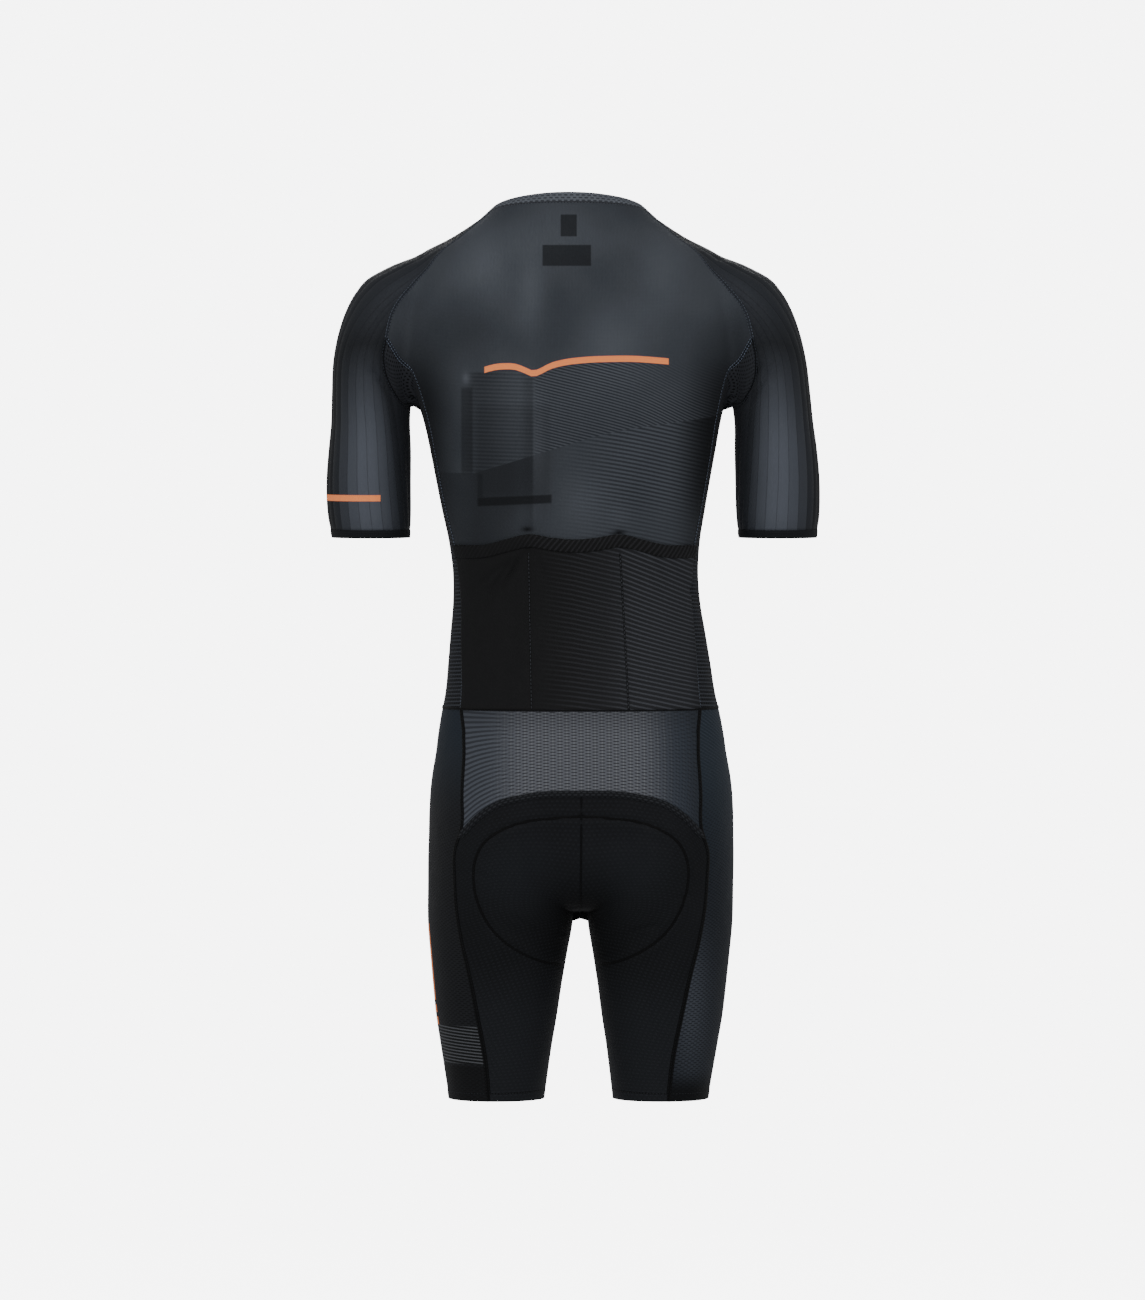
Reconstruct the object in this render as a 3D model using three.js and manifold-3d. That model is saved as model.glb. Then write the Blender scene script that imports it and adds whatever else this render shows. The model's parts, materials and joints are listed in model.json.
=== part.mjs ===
// A short-sleeved road skinsuit, men's size M, in the shape it has when it is worn, with nobody in it.
// +Z is up, the front faces -Y, the wearer's left is +X, and one unit is a millimetre.
// The origin lies between the shoulders, where the wearer carries the suit.
//
// Every panel lies on one general figure: a torso, two arms and two legs, each a stack of rounded
// horizontal sections, blended where they meet. Seams are lines of points on that figure, and
// a panel is a grid of points between its four seams with a wall of cloth behind it.
import * as THREE from 'three';
import { mergeVertices } from 'three/addons/utils/BufferGeometryUtils.js';
import Module from 'manifold-3d';

const wasm = await Module();
wasm.setup();

// Cloth
const clothWall = 1.2;
const seamGap = 0.3; // between neighbouring pieces, and between a panel and what lies on it
const ribHeight = 0.6; // lengthwise ribs of the sleeve cloth
const innerClearance = 1.2; // from a panel's inner face to what lies behind its flat facets

// Heights
const waistHeight = -471;
const hemHeight = -886;
const cuffHeight = -292;
const cuffBandWidth = 8.5;
const crotchLevel = -722; // where the leg seams change from seat rows to leg rows
const backTipHeight = -80; // upper point of the side panel, on the back raglan seam
const frontTipHeight = -88; // and on the front raglan seam
const bindingWidth = 13.5;
const tapeWidth = 6.4;

// Neck: where the raglan seams end, as angles round the neck from the wearer's left
const raglanBackAngle = 8;
const raglanFrontAngle = -15;

// Zip
const zipOpening = 5; // from the centre line to the edge of a front
const coilHalf = 2.2;
const zipTapeEdge = 16;
const coilThickness = 2;
const tapeThickness = 1;

// Grid sizes
const backColumns = 16;
const frontColumns = 8;
const seatColumns = 8;
const outerLegColumns = 8;
const armholeSteps = 4;
const raglanSteps = 7;
const neckEdgeSteps = 3;
const sleeveRises = [0.17, 0.34, 0.5, 0.61, 0.69, 0.76, 0.82, 0.875, 0.93, 0.97]; // shares of the way up
const pocketRows = 4;
const chestRows = 8;
const yokeRows = 4;
const seatRows = 8;
const legRows = 8;

const degrees = THREE.MathUtils.degToRad;
const { clamp, lerp } = THREE.MathUtils;
const steps = (from, to, count) => Array.from({ length: count + 1 }, (_, i) => lerp(from, to, i / count));

// ---------------------------------------------------------------- tables and smooth curves

// The slope of a column at one row, from its neighbours on both sides
function slopeAt(rows, i, column) {
  const before = rows[Math.max(i - 1, 0)];
  const here = rows[i];
  const after = rows[Math.min(i + 1, rows.length - 1)];
  const back = here[0] - before[0];
  const ahead = after[0] - here[0];
  if (back === 0 || ahead === 0) return (after[column] - before[column]) / (after[0] - before[0]);
  const rise = back * back * after[column] - ahead * ahead * before[column];
  return (rise + (ahead * ahead - back * back) * here[column]) / (back * ahead * (back + ahead));
}

// A smooth curve through a table's rows: it takes a value of the first column and gives the others
function curve(columns, table) {
  const rows = [...table].sort((a, b) => a[0] - b[0]);
  const names = columns.slice(1);
  const slopes = rows.map((_, i) => names.map((name, k) => slopeAt(rows, i, k + 1)));
  return (key) => {
    const at = clamp(key, rows[0][0], rows.at(-1)[0]);
    let i = 0;
    while (i < rows.length - 2 && rows[i + 1][0] < at) i += 1;
    const span = rows[i + 1][0] - rows[i][0];
    const t = (at - rows[i][0]) / span;
    const early = 2 * t ** 3 - 3 * t ** 2 + 1;
    const result = { beyond: Math.abs(key - at) };
    names.forEach((name, k) => {
      result[name] = early * rows[i][k + 1] + (1 - early) * rows[i + 1][k + 1]
        + (t ** 3 - 2 * t ** 2 + t) * span * slopes[i][k] + (t ** 3 - t ** 2) * span * slopes[i + 1][k];
    });
    return result;
  };
}

// ---------------------------------------------------------------- the figure that the suit is cut for

// Sections of the torso: half width, depth behind and in front of the side line, and squareness
const torso = curve(['height', 'half', 'back', 'front', 'square'], [
  [120, 58, 40, 62, 2.0],
  [95, 60, 46, 60, 2.0],
  [74, 66, 52, 58, 2.0],
  [62, 76, 56, 57, 2.0],
  [51, 87, 61, 57, 2.0],
  [42, 99, 65, 57, 2.0],
  [26, 123, 73, 59, 2.05],
  [8, 157, 81, 62, 2.15],
  [-8, 171, 87, 67, 2.2],
  [-24, 179, 92, 74, 2.25],
  [-40, 181, 96, 83, 2.3],
  [-72, 181, 104, 97, 2.35],
  [-104, 177, 109, 108, 2.4],
  [-140, 165, 112, 115, 2.4],
  [-170, 157, 112, 118, 2.35],
  [-200, 151, 109, 118, 2.3],
  [-232, 145, 104, 117, 2.25],
  [-264, 139, 98, 114, 2.25],
  [-296, 133, 91, 110, 2.25],
  [-328, 130, 86, 106, 2.25],
  [-360, 131, 83, 103, 2.25],
  [-392, 135, 85, 101, 2.3],
  [-424, 139, 90, 101, 2.3],
  [-456, 143, 97, 102, 2.3],
  [-480, 148, 104, 102, 2.3],
  [-512, 153, 111, 101, 2.3],
  [-544, 155, 115, 98, 2.25],
  [-576, 153, 115, 96, 2.2],
  [-606, 145, 113, 92, 2.15],
  [-634, 131, 108, 87, 2.1],
  [-654, 110, 98, 78, 2.0],
  [-668, 88, 84, 67, 2.0],
  [-678, 64, 65, 53, 2.0],
  [-684, 40, 43, 36, 2.0],
  [-687, 18, 20, 18, 2.0],
  [-688, 6, 6, 6, 2.0],
]);

// Sections of an arm: its middle, half width across and half depth
const arm = curve(['height', 'x', 'half', 'y', 'deep'], [
  [10, 112, 14, 4, 12],
  [5, 141, 14, 4, 16],
  [-2, 159, 22, 5, 26],
  [-9, 168.5, 28.5, 5, 33],
  [-16, 175, 35, 5, 40],
  [-32, 187, 38, 6, 47],
  [-50, 196, 39, 6, 51],
  [-72, 203, 40, 6, 54],
  [-104, 209, 41, 5, 55],
  [-140, 212, 41, 3, 55],
  [-170, 213.5, 41.5, 1, 54],
  [-200, 215, 43.5, -2, 53],
  [-232, 216.5, 44.5, -5, 52],
  [-264, 216.5, 44, -8, 50],
  [-296, 215.5, 41, -11, 47],
  [-330, 214, 38, -14, 44],
]);
const armSquare = 2;

// Sections of a leg, from inside the hip down
const leg = curve(['height', 'x', 'half', 'back', 'front'], [
  [-500, 66, 70, 98, 88],
  [-540, 76, 77, 112, 92],
  [-580, 81, 79, 118, 93],
  [-620, 83, 79, 119, 91],
  [-660, 84, 78, 113, 87],
  [-700, 85, 76.5, 104, 82],
  [-735, 86.5, 72, 96, 77],
  [-766, 87.5, 68, 89, 73],
  [-798, 88, 64, 82, 69],
  [-830, 88, 58.8, 75, 66],
  [-862, 87.5, 54, 69, 63],
  [-890, 87, 50, 65, 61],
  [-920, 86, 46, 61, 59],
]);
const legSquare = 2.15;

const armBlend = 14;
const legBlend = 16;
const hipBlend = 12;

// The suit hangs a little to one side: how far its middle line stands off the straight one
const lean = curve(['height', 'x'], [
  [130, 4], [0, 4], [-100, 3], [-180, 0], [-260, -1], [-350, -4], [-450, -8], [-560, -9.3], [-700, -8.2],
  [-920, -6],
]);

// Signed distance, roughly, to one rounded section: under 0 inside it
function section(x, y, half, depth, square) {
  const ratio = (Math.abs(x / half) ** square + Math.abs(y / depth) ** square) ** (1 / square);
  return (ratio - 1) * Math.min(half, depth);
}

function smoothMin(a, b, radius) {
  const near = Math.max(radius - Math.abs(a - b), 0) / radius;
  return Math.min(a, b) - near * near * radius / 4;
}

// Under 0 inside the figure, 0 on its surface
function figure(x, y, z) {
  const side = Math.abs(x);
  const trunk = torso(z);
  const upper = arm(z);
  const lower = leg(z);
  const trunkDepth = y >= 0 ? trunk.back : trunk.front;
  const legDepth = y >= 0 ? lower.back : lower.front;
  const inTrunk = section(x, y, trunk.half, trunkDepth, trunk.square) + trunk.beyond;
  const inArm = section(side - upper.x, y - upper.y, upper.half, upper.deep, armSquare) + upper.beyond;
  const inLeg = section(side - lower.x, y, lower.half, legDepth, legSquare) + lower.beyond;
  const inOtherLeg = section(side + lower.x, y, lower.half, legDepth, legSquare) + lower.beyond;
  const legs = smoothMin(inLeg, inOtherLeg, legBlend);
  return smoothMin(smoothMin(inTrunk, inArm, armBlend), legs, hipBlend);
}

function slope(x, y, z) {
  const h = 0.4;
  return new THREE.Vector3(
    figure(x + h, y, z) - figure(x - h, y, z),
    figure(x, y + h, z) - figure(x, y - h, z),
    figure(x, y, z + h) - figure(x, y, z - h),
  ).divideScalar(2 * h);
}

// A site is a point on the figure with the direction that faces out there
function site(x, y, z) {
  return { at: new THREE.Vector3(x, y, z), out: slope(x, y, z).normalize() };
}

// Moves a point near the surface on to it, level or along the steepest way
function settle(point, level) {
  const at = point.clone();
  for (let turn = 0; turn < 12; turn += 1) {
    const way = slope(at.x, at.y, at.z);
    if (level) way.z = 0;
    at.addScaledVector(way, -figure(at.x, at.y, at.z) / way.lengthSq());
  }
  return site(at.x, at.y, at.z);
}

// The first place where a line from inside the figure meets its surface
function crossing(from, toward) {
  const value = (t) => figure(from.x + toward.x * t, from.y + toward.y * t, from.z + toward.z * t);
  const stride = 5;
  const reach = 300;
  let near = 0;
  let far = stride;
  while (far < reach && value(far) < 0) {
    near = far;
    far += stride;
  }
  for (let turn = 0; turn < 26; turn += 1) {
    const middle = (near + far) / 2;
    if (value(middle) < 0) near = middle;
    else far = middle;
  }
  return site(from.x + toward.x * near, from.y + toward.y * near, from.z + toward.z * near);
}

// The largest folds, as soft troughs along a line on the back (side 1) or the front (side -1)
const foldColumns = ['side', 'x1', 'z1', 'x2', 'z2', 'width', 'depth'];
const folds = [
  [1, 40, -128, 44, -262, 9, 1.8], // pull from the back stripe down to the left pocket seam
  [1, 214, -112, 188, -140, 9, 2.4], // left underarm
  [1, 198, -92, 178, -128, 8, 1.6],
  [1, -204, -106, -184, -140, 9, 2.6], // right underarm
  [1, -218, -116, -196, -146, 8, 1.8],
  [1, 96, -352, 66, -318, 8, 1.5], // pocket corners
  [1, -122, -356, -90, -322, 8, 1.6],
  [1, 78, -700, 20, -722, 9, 2.2], // below the seat
  [1, -74, -704, -22, -722, 9, 2.0],
  [-1, 206, -104, 180, -138, 9, 2.2], // front of the underarms
  [-1, -200, -108, -178, -136, 9, 2.5],
  [-1, 104, -622, 40, -672, 10, 2.6], // front of the hips
  [-1, -100, -616, -44, -676, 10, 2.4],
  [-1, 96, -398, 34, -420, 11, 1.6], // above the waist seam
  [-1, -88, -410, -30, -424, 11, 1.8],
].map((row) => Object.fromEntries(foldColumns.map((name, k) => [name, row[k]])));

function foldDepth({ x, y, z }) {
  let total = 0;
  for (const fold of folds) {
    const facing = THREE.MathUtils.smoothstep(fold.side * y, 5, 35);
    const runX = fold.x2 - fold.x1;
    const runZ = fold.z2 - fold.z1;
    const t = clamp(((x - fold.x1) * runX + (z - fold.z1) * runZ) / (runX ** 2 + runZ ** 2), 0, 1);
    const away = Math.hypot(x - fold.x1 - t * runX, z - fold.z1 - t * runZ) / fold.width;
    total += facing * fold.depth * Math.exp(-away * away);
  }
  return total;
}

// ---------------------------------------------------------------- charts: two numbers for a place

const turned = (angle, cut) => angle - 2 * Math.PI * Math.ceil((angle - cut) / (2 * Math.PI));

// Angle round an upright axis, and height. Angles are given from one full turn below cut up to cut.
function ringChart(axis, cut = Math.PI) {
  return {
    place: (angle, height) => {
      const { x, y } = axis(height);
      const way = new THREE.Vector3(Math.cos(angle), Math.sin(angle), 0);
      return crossing(new THREE.Vector3(x, y, height), way);
    },
    read: ({ at }) => {
      const { x, y } = axis(at.z);
      return [turned(Math.atan2(at.y - y, at.x - x), cut), at.z];
    },
  };
}

// Place across and height, on the back or on the front
const faceChart = (side) => ({
  place: (x, height) => crossing(new THREE.Vector3(x, 0, height), new THREE.Vector3(0, side, 0)),
  read: ({ at }) => [at.x, at.z],
});
const backFace = faceChart(1);
const frontFace = faceChart(-1);

const trunkRing = ringChart(() => ({ x: 0, y: 0 }));
const sleeveAxis = curve(['height', 'x', 'y'], [
  [60, 45, 0], [30, 80, 0], [0, 118, 2], [-30, 155, 4], [-60, 185, 6], [-90, 203, 5], [-140, 212, 3],
  [-170, 213.5, 1], [-200, 215, -2], [-232, 216.5, -5], [-264, 216.5, -8], [-296, 215.5, -11],
]);
const legAxis = (height) => ({ x: leg(height).x, y: 0 });
const backCut = degrees(225); // for pieces that meet the inner line from behind
const frontCut = degrees(135); // and from in front
const legBackRing = ringChart(legAxis, backCut);
const legFrontRing = ringChart(legAxis, frontCut);
const legOuterRing = ringChart(legAxis);

const mirrorSite = ({ at, out }) => ({
  at: new THREE.Vector3(-at.x, at.y, at.z),
  out: new THREE.Vector3(-out.x, out.y, out.z),
});
const mirrorRow = (row) => row.map(mirrorSite);
const mirrorGrid = (grid) => grid.map(mirrorRow);

// How far along a row of places each one lies, from 0 to 1, by one of their numbers
function shares(places, which) {
  const first = places[0][which];
  return places.map((place) => (place[which] - first) / (places.at(-1)[which] - first));
}

const average = (a, b) => a.map((value, i) => (value + b[i]) / 2);

// A grid between four seams, worked out on a chart: start and end run across, left and right along
function patch(chart, { start, end, left, right }) {
  const [starts, ends, lefts, rights] = [start, end, left, right].map((row) => row.map(chart.read));
  const across = average(shares(starts, 0), shares(ends, 0));
  const along = average(shares(lefts, 1), shares(rights, 1));
  return left.map((leftSite, j) => start.map((startSite, i) => {
    if (j === 0) return startSite;
    if (j === left.length - 1) return end[i];
    if (i === 0) return leftSite;
    if (i === start.length - 1) return right[j];
    const [first, second] = [0, 1].map((k) => {
      const swept = lerp(starts[i][k], ends[i][k], along[j]);
      const atLeft = lefts[j][k] - lerp(lefts[0][k], lefts.at(-1)[k], along[j]);
      const atRight = rights[j][k] - lerp(rights[0][k], rights.at(-1)[k], along[j]);
      return swept + lerp(atLeft, atRight, across[i]);
    });
    return chart.place(first, second);
  }));
}

// The same between four seams in space, with each inner point then moved on to the figure. The shape
// of the end row fades away faster than that of the start row.
function spacePatch({ start, end, left, right }) {
  const rows = left.length - 1;
  const columns = start.length - 1;
  const offChord = (row, i) => row[i].at.clone().sub(row[0].at.clone().lerp(row.at(-1).at, i / columns));
  return left.map((leftSite, j) => start.map((startSite, i) => {
    if (j === 0) return startSite;
    if (j === rows) return end[i];
    if (i === 0) return leftSite;
    if (i === columns) return right[j];
    const share = j / rows;
    const point = leftSite.at.clone().lerp(right[j].at, i / columns);
    point.addScaledVector(offChord(start, i), 1 - share);
    point.addScaledVector(offChord(end, i), share ** 3);
    return settle(point, false);
  }));
}

// ---------------------------------------------------------------- seams

const onSeam = (line, height) => {
  const { x, y } = line(height);
  return settle(new THREE.Vector3(x, y, height), true);
};

// Side seam between back and side panel, waist to the tip on the raglan seam
const sideBackLine = curve(['height', 'x', 'y'], [
  [-80, 193, 58], [-97, 183, 50], [-112, 171, 46], [-126, 163, 44], [-141, 157, 42], [-167, 152, 40],
  [-198, 147, 36], [-231, 141, 32], [-273, 133, 31], [-321, 125, 34], [-360, 122, 38], [-400, 124, 45],
  [-436, 126, 53], [-471, 126, 59],
]);
// Side seam between front and side panel
const sideFrontLine = curve(['height', 'x', 'y'], [
  [-88, 182, -50], [-104, 175, -46], [-120, 167, -44], [-141, 159, -43], [-167, 153, -42],
  [-198, 147, -40], [-231, 141, -39], [-298, 127, -39], [-360, 123, -43], [-420, 127, -49],
  [-471, 131, -53],
]);
// Raglan seams, tip to neck
const raglanBackLine = curve(['height', 'x', 'y'], [
  [-80, 193, 58], [-67, 190.5, 57], [-53, 186, 56], [-40, 178.5, 54], [-25, 166, 50], [-3, 146, 45],
  [25, 118, 27], [40, 101, 17], [54, 83, 11.6],
]);
const raglanFrontLine = curve(['height', 'x', 'y'], [
  [-88, 182, -50], [-70, 177, -49], [-50, 167, -47], [-25, 150, -45], [0, 133, -40], [20, 114, -32],
  [36, 96.5, -26],
]);
// Outer seams of the leg, waist to hem
const outerBackLine = curve(['height', 'x', 'y'], [
  [-471, 126, 59], [-500, 123, 72], [-530, 121.5, 84], [-560, 122.5, 93], [-597, 126, 101],
  [-619, 132.5, 95],
  [-648, 133, 93], [-676, 131, 90], [-710, 126, 88], [-756, 115.5, 85], [-793, 108, 80], [-835, 100, 73],
  [-886, 94.5, 65],
]);
const outerFrontLine = curve(['height', 'x', 'y'], [
  [-471, 131, -53], [-510, 135, -57], [-560, 137, -64], [-620, 137, -66], [-700, 129, -62],
  [-756, 120, -58],
  [-835, 110, -52], [-886, 105, -48],
]);
// Neck seam and upper edge of the neck band, by angle from the wearer's left
const neckLine = curve(['angle', 'seam', 'edge'], [
  [-120, -2, 9], [-90, -8, 4], [-60, -2, 9], [-30, 22, 32], [-15, 36, 45], [0, 49.5, 57.5], [12, 56, 62.8],
  [27, 60, 67.4], [50, 62.6, 71.6], [90, 63.6, 74], [130, 62.6, 71.6],
]);
// Pocket mouth and yoke arch, by distance from the middle
const mouthLine = curve(['x', 'height'], [
  [-24, -289.5], [0, -291.5], [24, -289.5], [47, -286], [70, -291], [92, -297], [126, -298.5],
]);
const archLine = curve(['x', 'height'], [
  [-60, -559], [0, -555.4], [60, -559], [94, -569], [112, -582], [126, -597],
]);

const mouthHeight = mouthLine(126).height;
const archHeight = archLine(0).height;
const archEndHeight = archLine(126).height;
const tapeEndHeight = archEndHeight - 9;

const neckSite = (angle) => trunkRing.place(degrees(angle), neckLine(angle).seam);
const raglanBackEnd = neckSite(raglanBackAngle);
const raglanFrontEnd = neckSite(raglanFrontAngle);

const torsoHeights = (top) => [
  ...steps(waistHeight, mouthHeight - bindingWidth, pocketRows),
  ...steps(mouthHeight, top, chestRows),
];
const sideBack = torsoHeights(backTipHeight).map((height) => onSeam(sideBackLine, height));
const sideFront = torsoHeights(frontTipHeight).map((height) => onSeam(sideFrontLine, height));

// A raglan seam, from the side panel's tip to the neck
function raglan(line, tip, end) {
  const heights = steps(tip.at.z, end.at.z, raglanSteps).slice(1, -1);
  return [tip, ...heights.map((height) => onSeam(line, height)), end];
}
const raglanBack = raglan(raglanBackLine, sideBack.at(-1), raglanBackEnd);
const raglanFront = raglan(raglanFrontLine, sideFront.at(-1), raglanFrontEnd);

// The armpit: the highest point of the gap between sleeve and body
const armpitX = 168;
const armpitY = 2;
const armpit = crossing(new THREE.Vector3(armpitX, armpitY, -100), new THREE.Vector3(0, 0, -1));

// Lower part of the armhole, from a tip of the side panel round to the armpit
function armhole(tip, rows) {
  const line = curve(['share', 'x', 'y', 'height'], [
    [0, tip.at.x, tip.at.y, tip.at.z], ...rows, [1, armpit.at.x, armpit.at.y, armpit.at.z],
  ]);
  const inner = steps(0, 1, armholeSteps).slice(1, -1).map((share) => {
    const { x, y, height } = line(share);
    return settle(new THREE.Vector3(x, y, height), false);
  });
  return [tip, ...inner, armpit];
}
const armholeBack = armhole(sideBack.at(-1), [
  [0.25, 196, 57, -104], [0.5, 190, 50, -129], [0.75, 179, 33, -149],
]);
const armholeFront = armhole(sideFront.at(-1), [
  [0.25, 187, -47, -108], [0.5, 184, -42, -129], [0.75, 176, -26, -148],
]);

const waistBackEnd = sideBack[0];
const waistFrontEnd = sideFront[0];

// Places across a face from one edge to the other, and from the middle out: closer where it turns away
const edgeBend = 1.25;
const bunched = (share) => Math.sin(share * edgeBend) / Math.sin(edgeBend);
const spread = (count) => steps(-1, 1, count).map(bunched);
const spreadOut = (count) => steps(0, 1, count).map(bunched);

const waistBack = spread(backColumns).map((share, i) => {
  if (i === 0) return mirrorSite(waistBackEnd);
  if (i === backColumns) return waistBackEnd;
  return backFace.place(waistBackEnd.at.x * share, waistHeight);
});
const waistFront = spreadOut(frontColumns).map((share, i) => {
  if (i === frontColumns) return waistFrontEnd;
  return frontFace.place(lerp(zipOpening, waistFrontEnd.at.x, share), waistHeight);
});
const waistSide = steps(0, 1, 2 * armholeSteps).map((share, i) => {
  if (i === 0) return waistBackEnd;
  if (i === 2 * armholeSteps) return waistFrontEnd;
  const [from, to] = [waistBackEnd, waistFrontEnd].map((end) => trunkRing.read(end)[0]);
  return trunkRing.place(lerp(from, to, share), waistHeight);
});

const neckBackHalf = steps(90, raglanBackAngle, backColumns / 2).map(neckSite);
const neckBack = [...mirrorRow(neckBackHalf.slice(1)).reverse(), ...neckBackHalf];
const neckEdge = steps(raglanFrontAngle, raglanBackAngle, neckEdgeSteps).map(neckSite);
const neckFrontDepth = torso(neckLine(-90).seam).front;
const neckFrontAngle = -90 + THREE.MathUtils.radToDeg(Math.atan(zipOpening / neckFrontDepth));
const neckFront = steps(neckFrontAngle, raglanFrontAngle, frontColumns).map(neckSite);

// ---------------------------------------------------------------- grids of the upper panels

// Back: waist to the pocket mouth, then up to the neck. Its lower rows also carry the pockets.
const backAcross = (end, heightAt) => spread(backColumns).map((share, i) => {
  if (i === 0) return mirrorSite(end);
  if (i === backColumns) return end;
  const x = end.at.x * share;
  return backFace.place(x, heightAt(Math.abs(x)));
});
const bindingRow = backAcross(sideBack[pocketRows], (x) => mouthLine(x).height - bindingWidth);
const mouthRow = backAcross(sideBack[pocketRows + 1], (x) => mouthLine(x).height);
const pocketSide = sideBack.slice(0, pocketRows + 1);
const upperSide = [...sideBack.slice(pocketRows + 1), ...raglanBack.slice(1)];
const pocketGrid = patch(backFace, {
  start: waistBack, end: bindingRow, left: mirrorRow(pocketSide), right: pocketSide,
});
const upperBackGrid = patch(backFace, {
  start: mouthRow, end: neckBack, left: mirrorRow(upperSide), right: upperSide,
});
const backGrid = [...pocketGrid, ...upperBackGrid];

// Fronts: zip edge to side and raglan seam
const frontSide = [...sideFront, ...raglanFront.slice(1)];
const frontShares = shares(frontSide.map(frontFace.read), 1);
const zipHeights = frontShares.map((share) => lerp(waistHeight, neckFront[0].at.z, share));
const zipEdge = zipHeights.map((height, j) => {
  if (j === 0) return waistFront[0];
  if (j === zipHeights.length - 1) return neckFront[0];
  return frontFace.place(zipOpening, height);
});
const frontGrid = patch(frontFace, { start: waistFront, end: neckFront, left: zipEdge, right: frontSide });

// Side panel with the gusset under the arm
const armholeRow = [...armholeBack, ...armholeFront.slice(0, -1).reverse()];
const sideGrid = spacePatch({ start: waistSide, end: armholeRow, left: sideBack, right: sideFront });

// Sleeve: rings from the cuff seam up to one closed line of armhole, raglan seams and neck
const sleeveTop = [
  ...armholeBack.slice(1).reverse(),
  ...raglanBack.slice(0, -1),
  ...neckEdge.slice(1).reverse(),
  ...raglanFront.slice(1).reverse(),
  ...armholeFront.slice(0, -1),
];
const sleeveSteps = sleeveTop.length;
const sleeveRing = ringChart(sleeveAxis, backCut);
const sleevePlaces = sleeveTop.map((place, i) => {
  const [angle, height] = ringChart(sleeveAxis, i > sleeveSteps / 2 ? frontCut : backCut).read(place);
  return [i === 0 ? Math.PI : angle, height];
});
const cuffAngle = (i) => Math.PI - 2 * Math.PI * i / sleeveSteps;
const halfway = (a, b) => ({ at: a.at.clone().lerp(b.at, 0.5), out: a.out.clone().add(b.out).normalize() });
const withHalfways = (ring) => ring.flatMap((place, i) => {
  return [place, halfway(place, ring[(i + 1) % ring.length])];
});

function sleeveLevel(rise) {
  return Array.from({ length: 2 * sleeveSteps }, (_, k) => {
    const i = Math.floor(k / 2);
    const ahead = (i + 1) % sleeveSteps;
    const mixed = k % 2 === 0 ? 0 : 0.5;
    const nextTop = ahead === 0 ? [-Math.PI, sleevePlaces[0][1]] : sleevePlaces[ahead];
    const topAngle = lerp(sleevePlaces[i][0], nextTop[0], mixed);
    const topHeight = lerp(sleevePlaces[i][1], nextTop[1], mixed);
    return sleeveRing.place(
      lerp(cuffAngle(i + mixed), topAngle, rise),
      lerp(cuffHeight + cuffBandWidth, topHeight, rise),
    );
  });
}
const cuffRing = (height) => {
  return Array.from({ length: sleeveSteps }, (_, i) => sleeveRing.place(cuffAngle(i), height));
};
const sleeveGrid = [
  withHalfways(cuffRing(cuffHeight + cuffBandWidth)),
  ...sleeveRises.map(sleeveLevel),
  withHalfways(sleeveTop),
];
const cuffBandGrid = [cuffRing(cuffHeight), cuffRing(cuffHeight + cuffBandWidth)];

// Neck band: the whole neck seam from zip edge to zip edge, and the upper edge above it
const neckHalf = [...neckFront, ...neckEdge.slice(1)];
const neckSeam = [
  ...neckHalf, ...neckBack.slice(0, -1).reverse(), ...mirrorRow(neckHalf.slice(0, -1)).reverse(),
];
const neckRow = (rise) => neckSeam.map((place) => {
  const angle = trunkRing.read(place)[0];
  const fromLeft = THREE.MathUtils.radToDeg(angle);
  const fromSide = Math.abs(fromLeft) > 90 ? Math.sign(fromLeft) * 180 - fromLeft : fromLeft;
  const { seam, edge } = neckLine(fromSide);
  return trunkRing.place(angle, lerp(seam, edge, rise));
});
const neckBandGrid = [neckSeam, neckRow(0.5), neckRow(1)];

// ---------------------------------------------------------------- grids of the lower panels

// A line down the middle, round a point inside the hips: angle 0 is level, 90 straight down
const hipCentre = new THREE.Vector3(0, 0, archHeight);
const middleSite = (side, angle) => crossing(
  hipCentre, new THREE.Vector3(0, side * Math.cos(degrees(angle)), -Math.sin(degrees(angle))),
);
const crotch = middleSite(1, 90);
const tapeAngle = THREE.MathUtils.radToDeg(Math.atan(tapeWidth / middleSite(1, 0).at.y));
const innerHeights = steps(crotch.at.z, hemHeight, legRows).slice(1);
const innerLeg = innerHeights.map((height) => legBackRing.place(Math.PI, height));
const centreBack = [
  middleSite(1, 0),
  ...steps(tapeAngle, 90, seatRows).slice(0, -1).map((angle) => middleSite(1, angle)),
  crotch,
  ...innerLeg,
];
const centreFront = [
  ...steps(waistHeight, archHeight, yokeRows).map((height) => frontFace.place(0, height)),
  ...steps(0, 90, seatRows + 1).slice(1, -1).map((angle) => middleSite(-1, angle)),
  crotch,
  ...innerLeg,
];

const outerBackHeights = [
  ...steps(waistHeight, archEndHeight, yokeRows),
  ...steps(tapeEndHeight, crotchLevel, seatRows),
  ...steps(crotchLevel, hemHeight, legRows).slice(1),
];
const outerFrontHeights = [
  ...steps(waistHeight, archHeight, yokeRows),
  ...steps(archHeight, crotchLevel, seatRows + 1).slice(1),
  ...steps(crotchLevel, hemHeight, legRows).slice(1),
];
const outerBack = outerBackHeights.map((height, j) => {
  return j === 0 ? waistBackEnd : onSeam(outerBackLine, height);
});
const outerFront = outerFrontHeights.map((height, j) => {
  return j === 0 ? waistFrontEnd : onSeam(outerFrontLine, height);
});

const archEnd = outerBack[yokeRows];
const arch = spread(backColumns).map((share, i) => {
  if (i === 0) return mirrorSite(archEnd);
  if (i === backColumns) return archEnd;
  return backFace.place(archEnd.at.x * share, archLine(Math.abs(archEnd.at.x * share)).height);
});
const yokeSide = outerBack.slice(0, yokeRows + 1);
const yokeGrid = patch(backFace, {
  start: waistBack, end: arch, left: mirrorRow(yokeSide), right: yokeSide,
});

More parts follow.
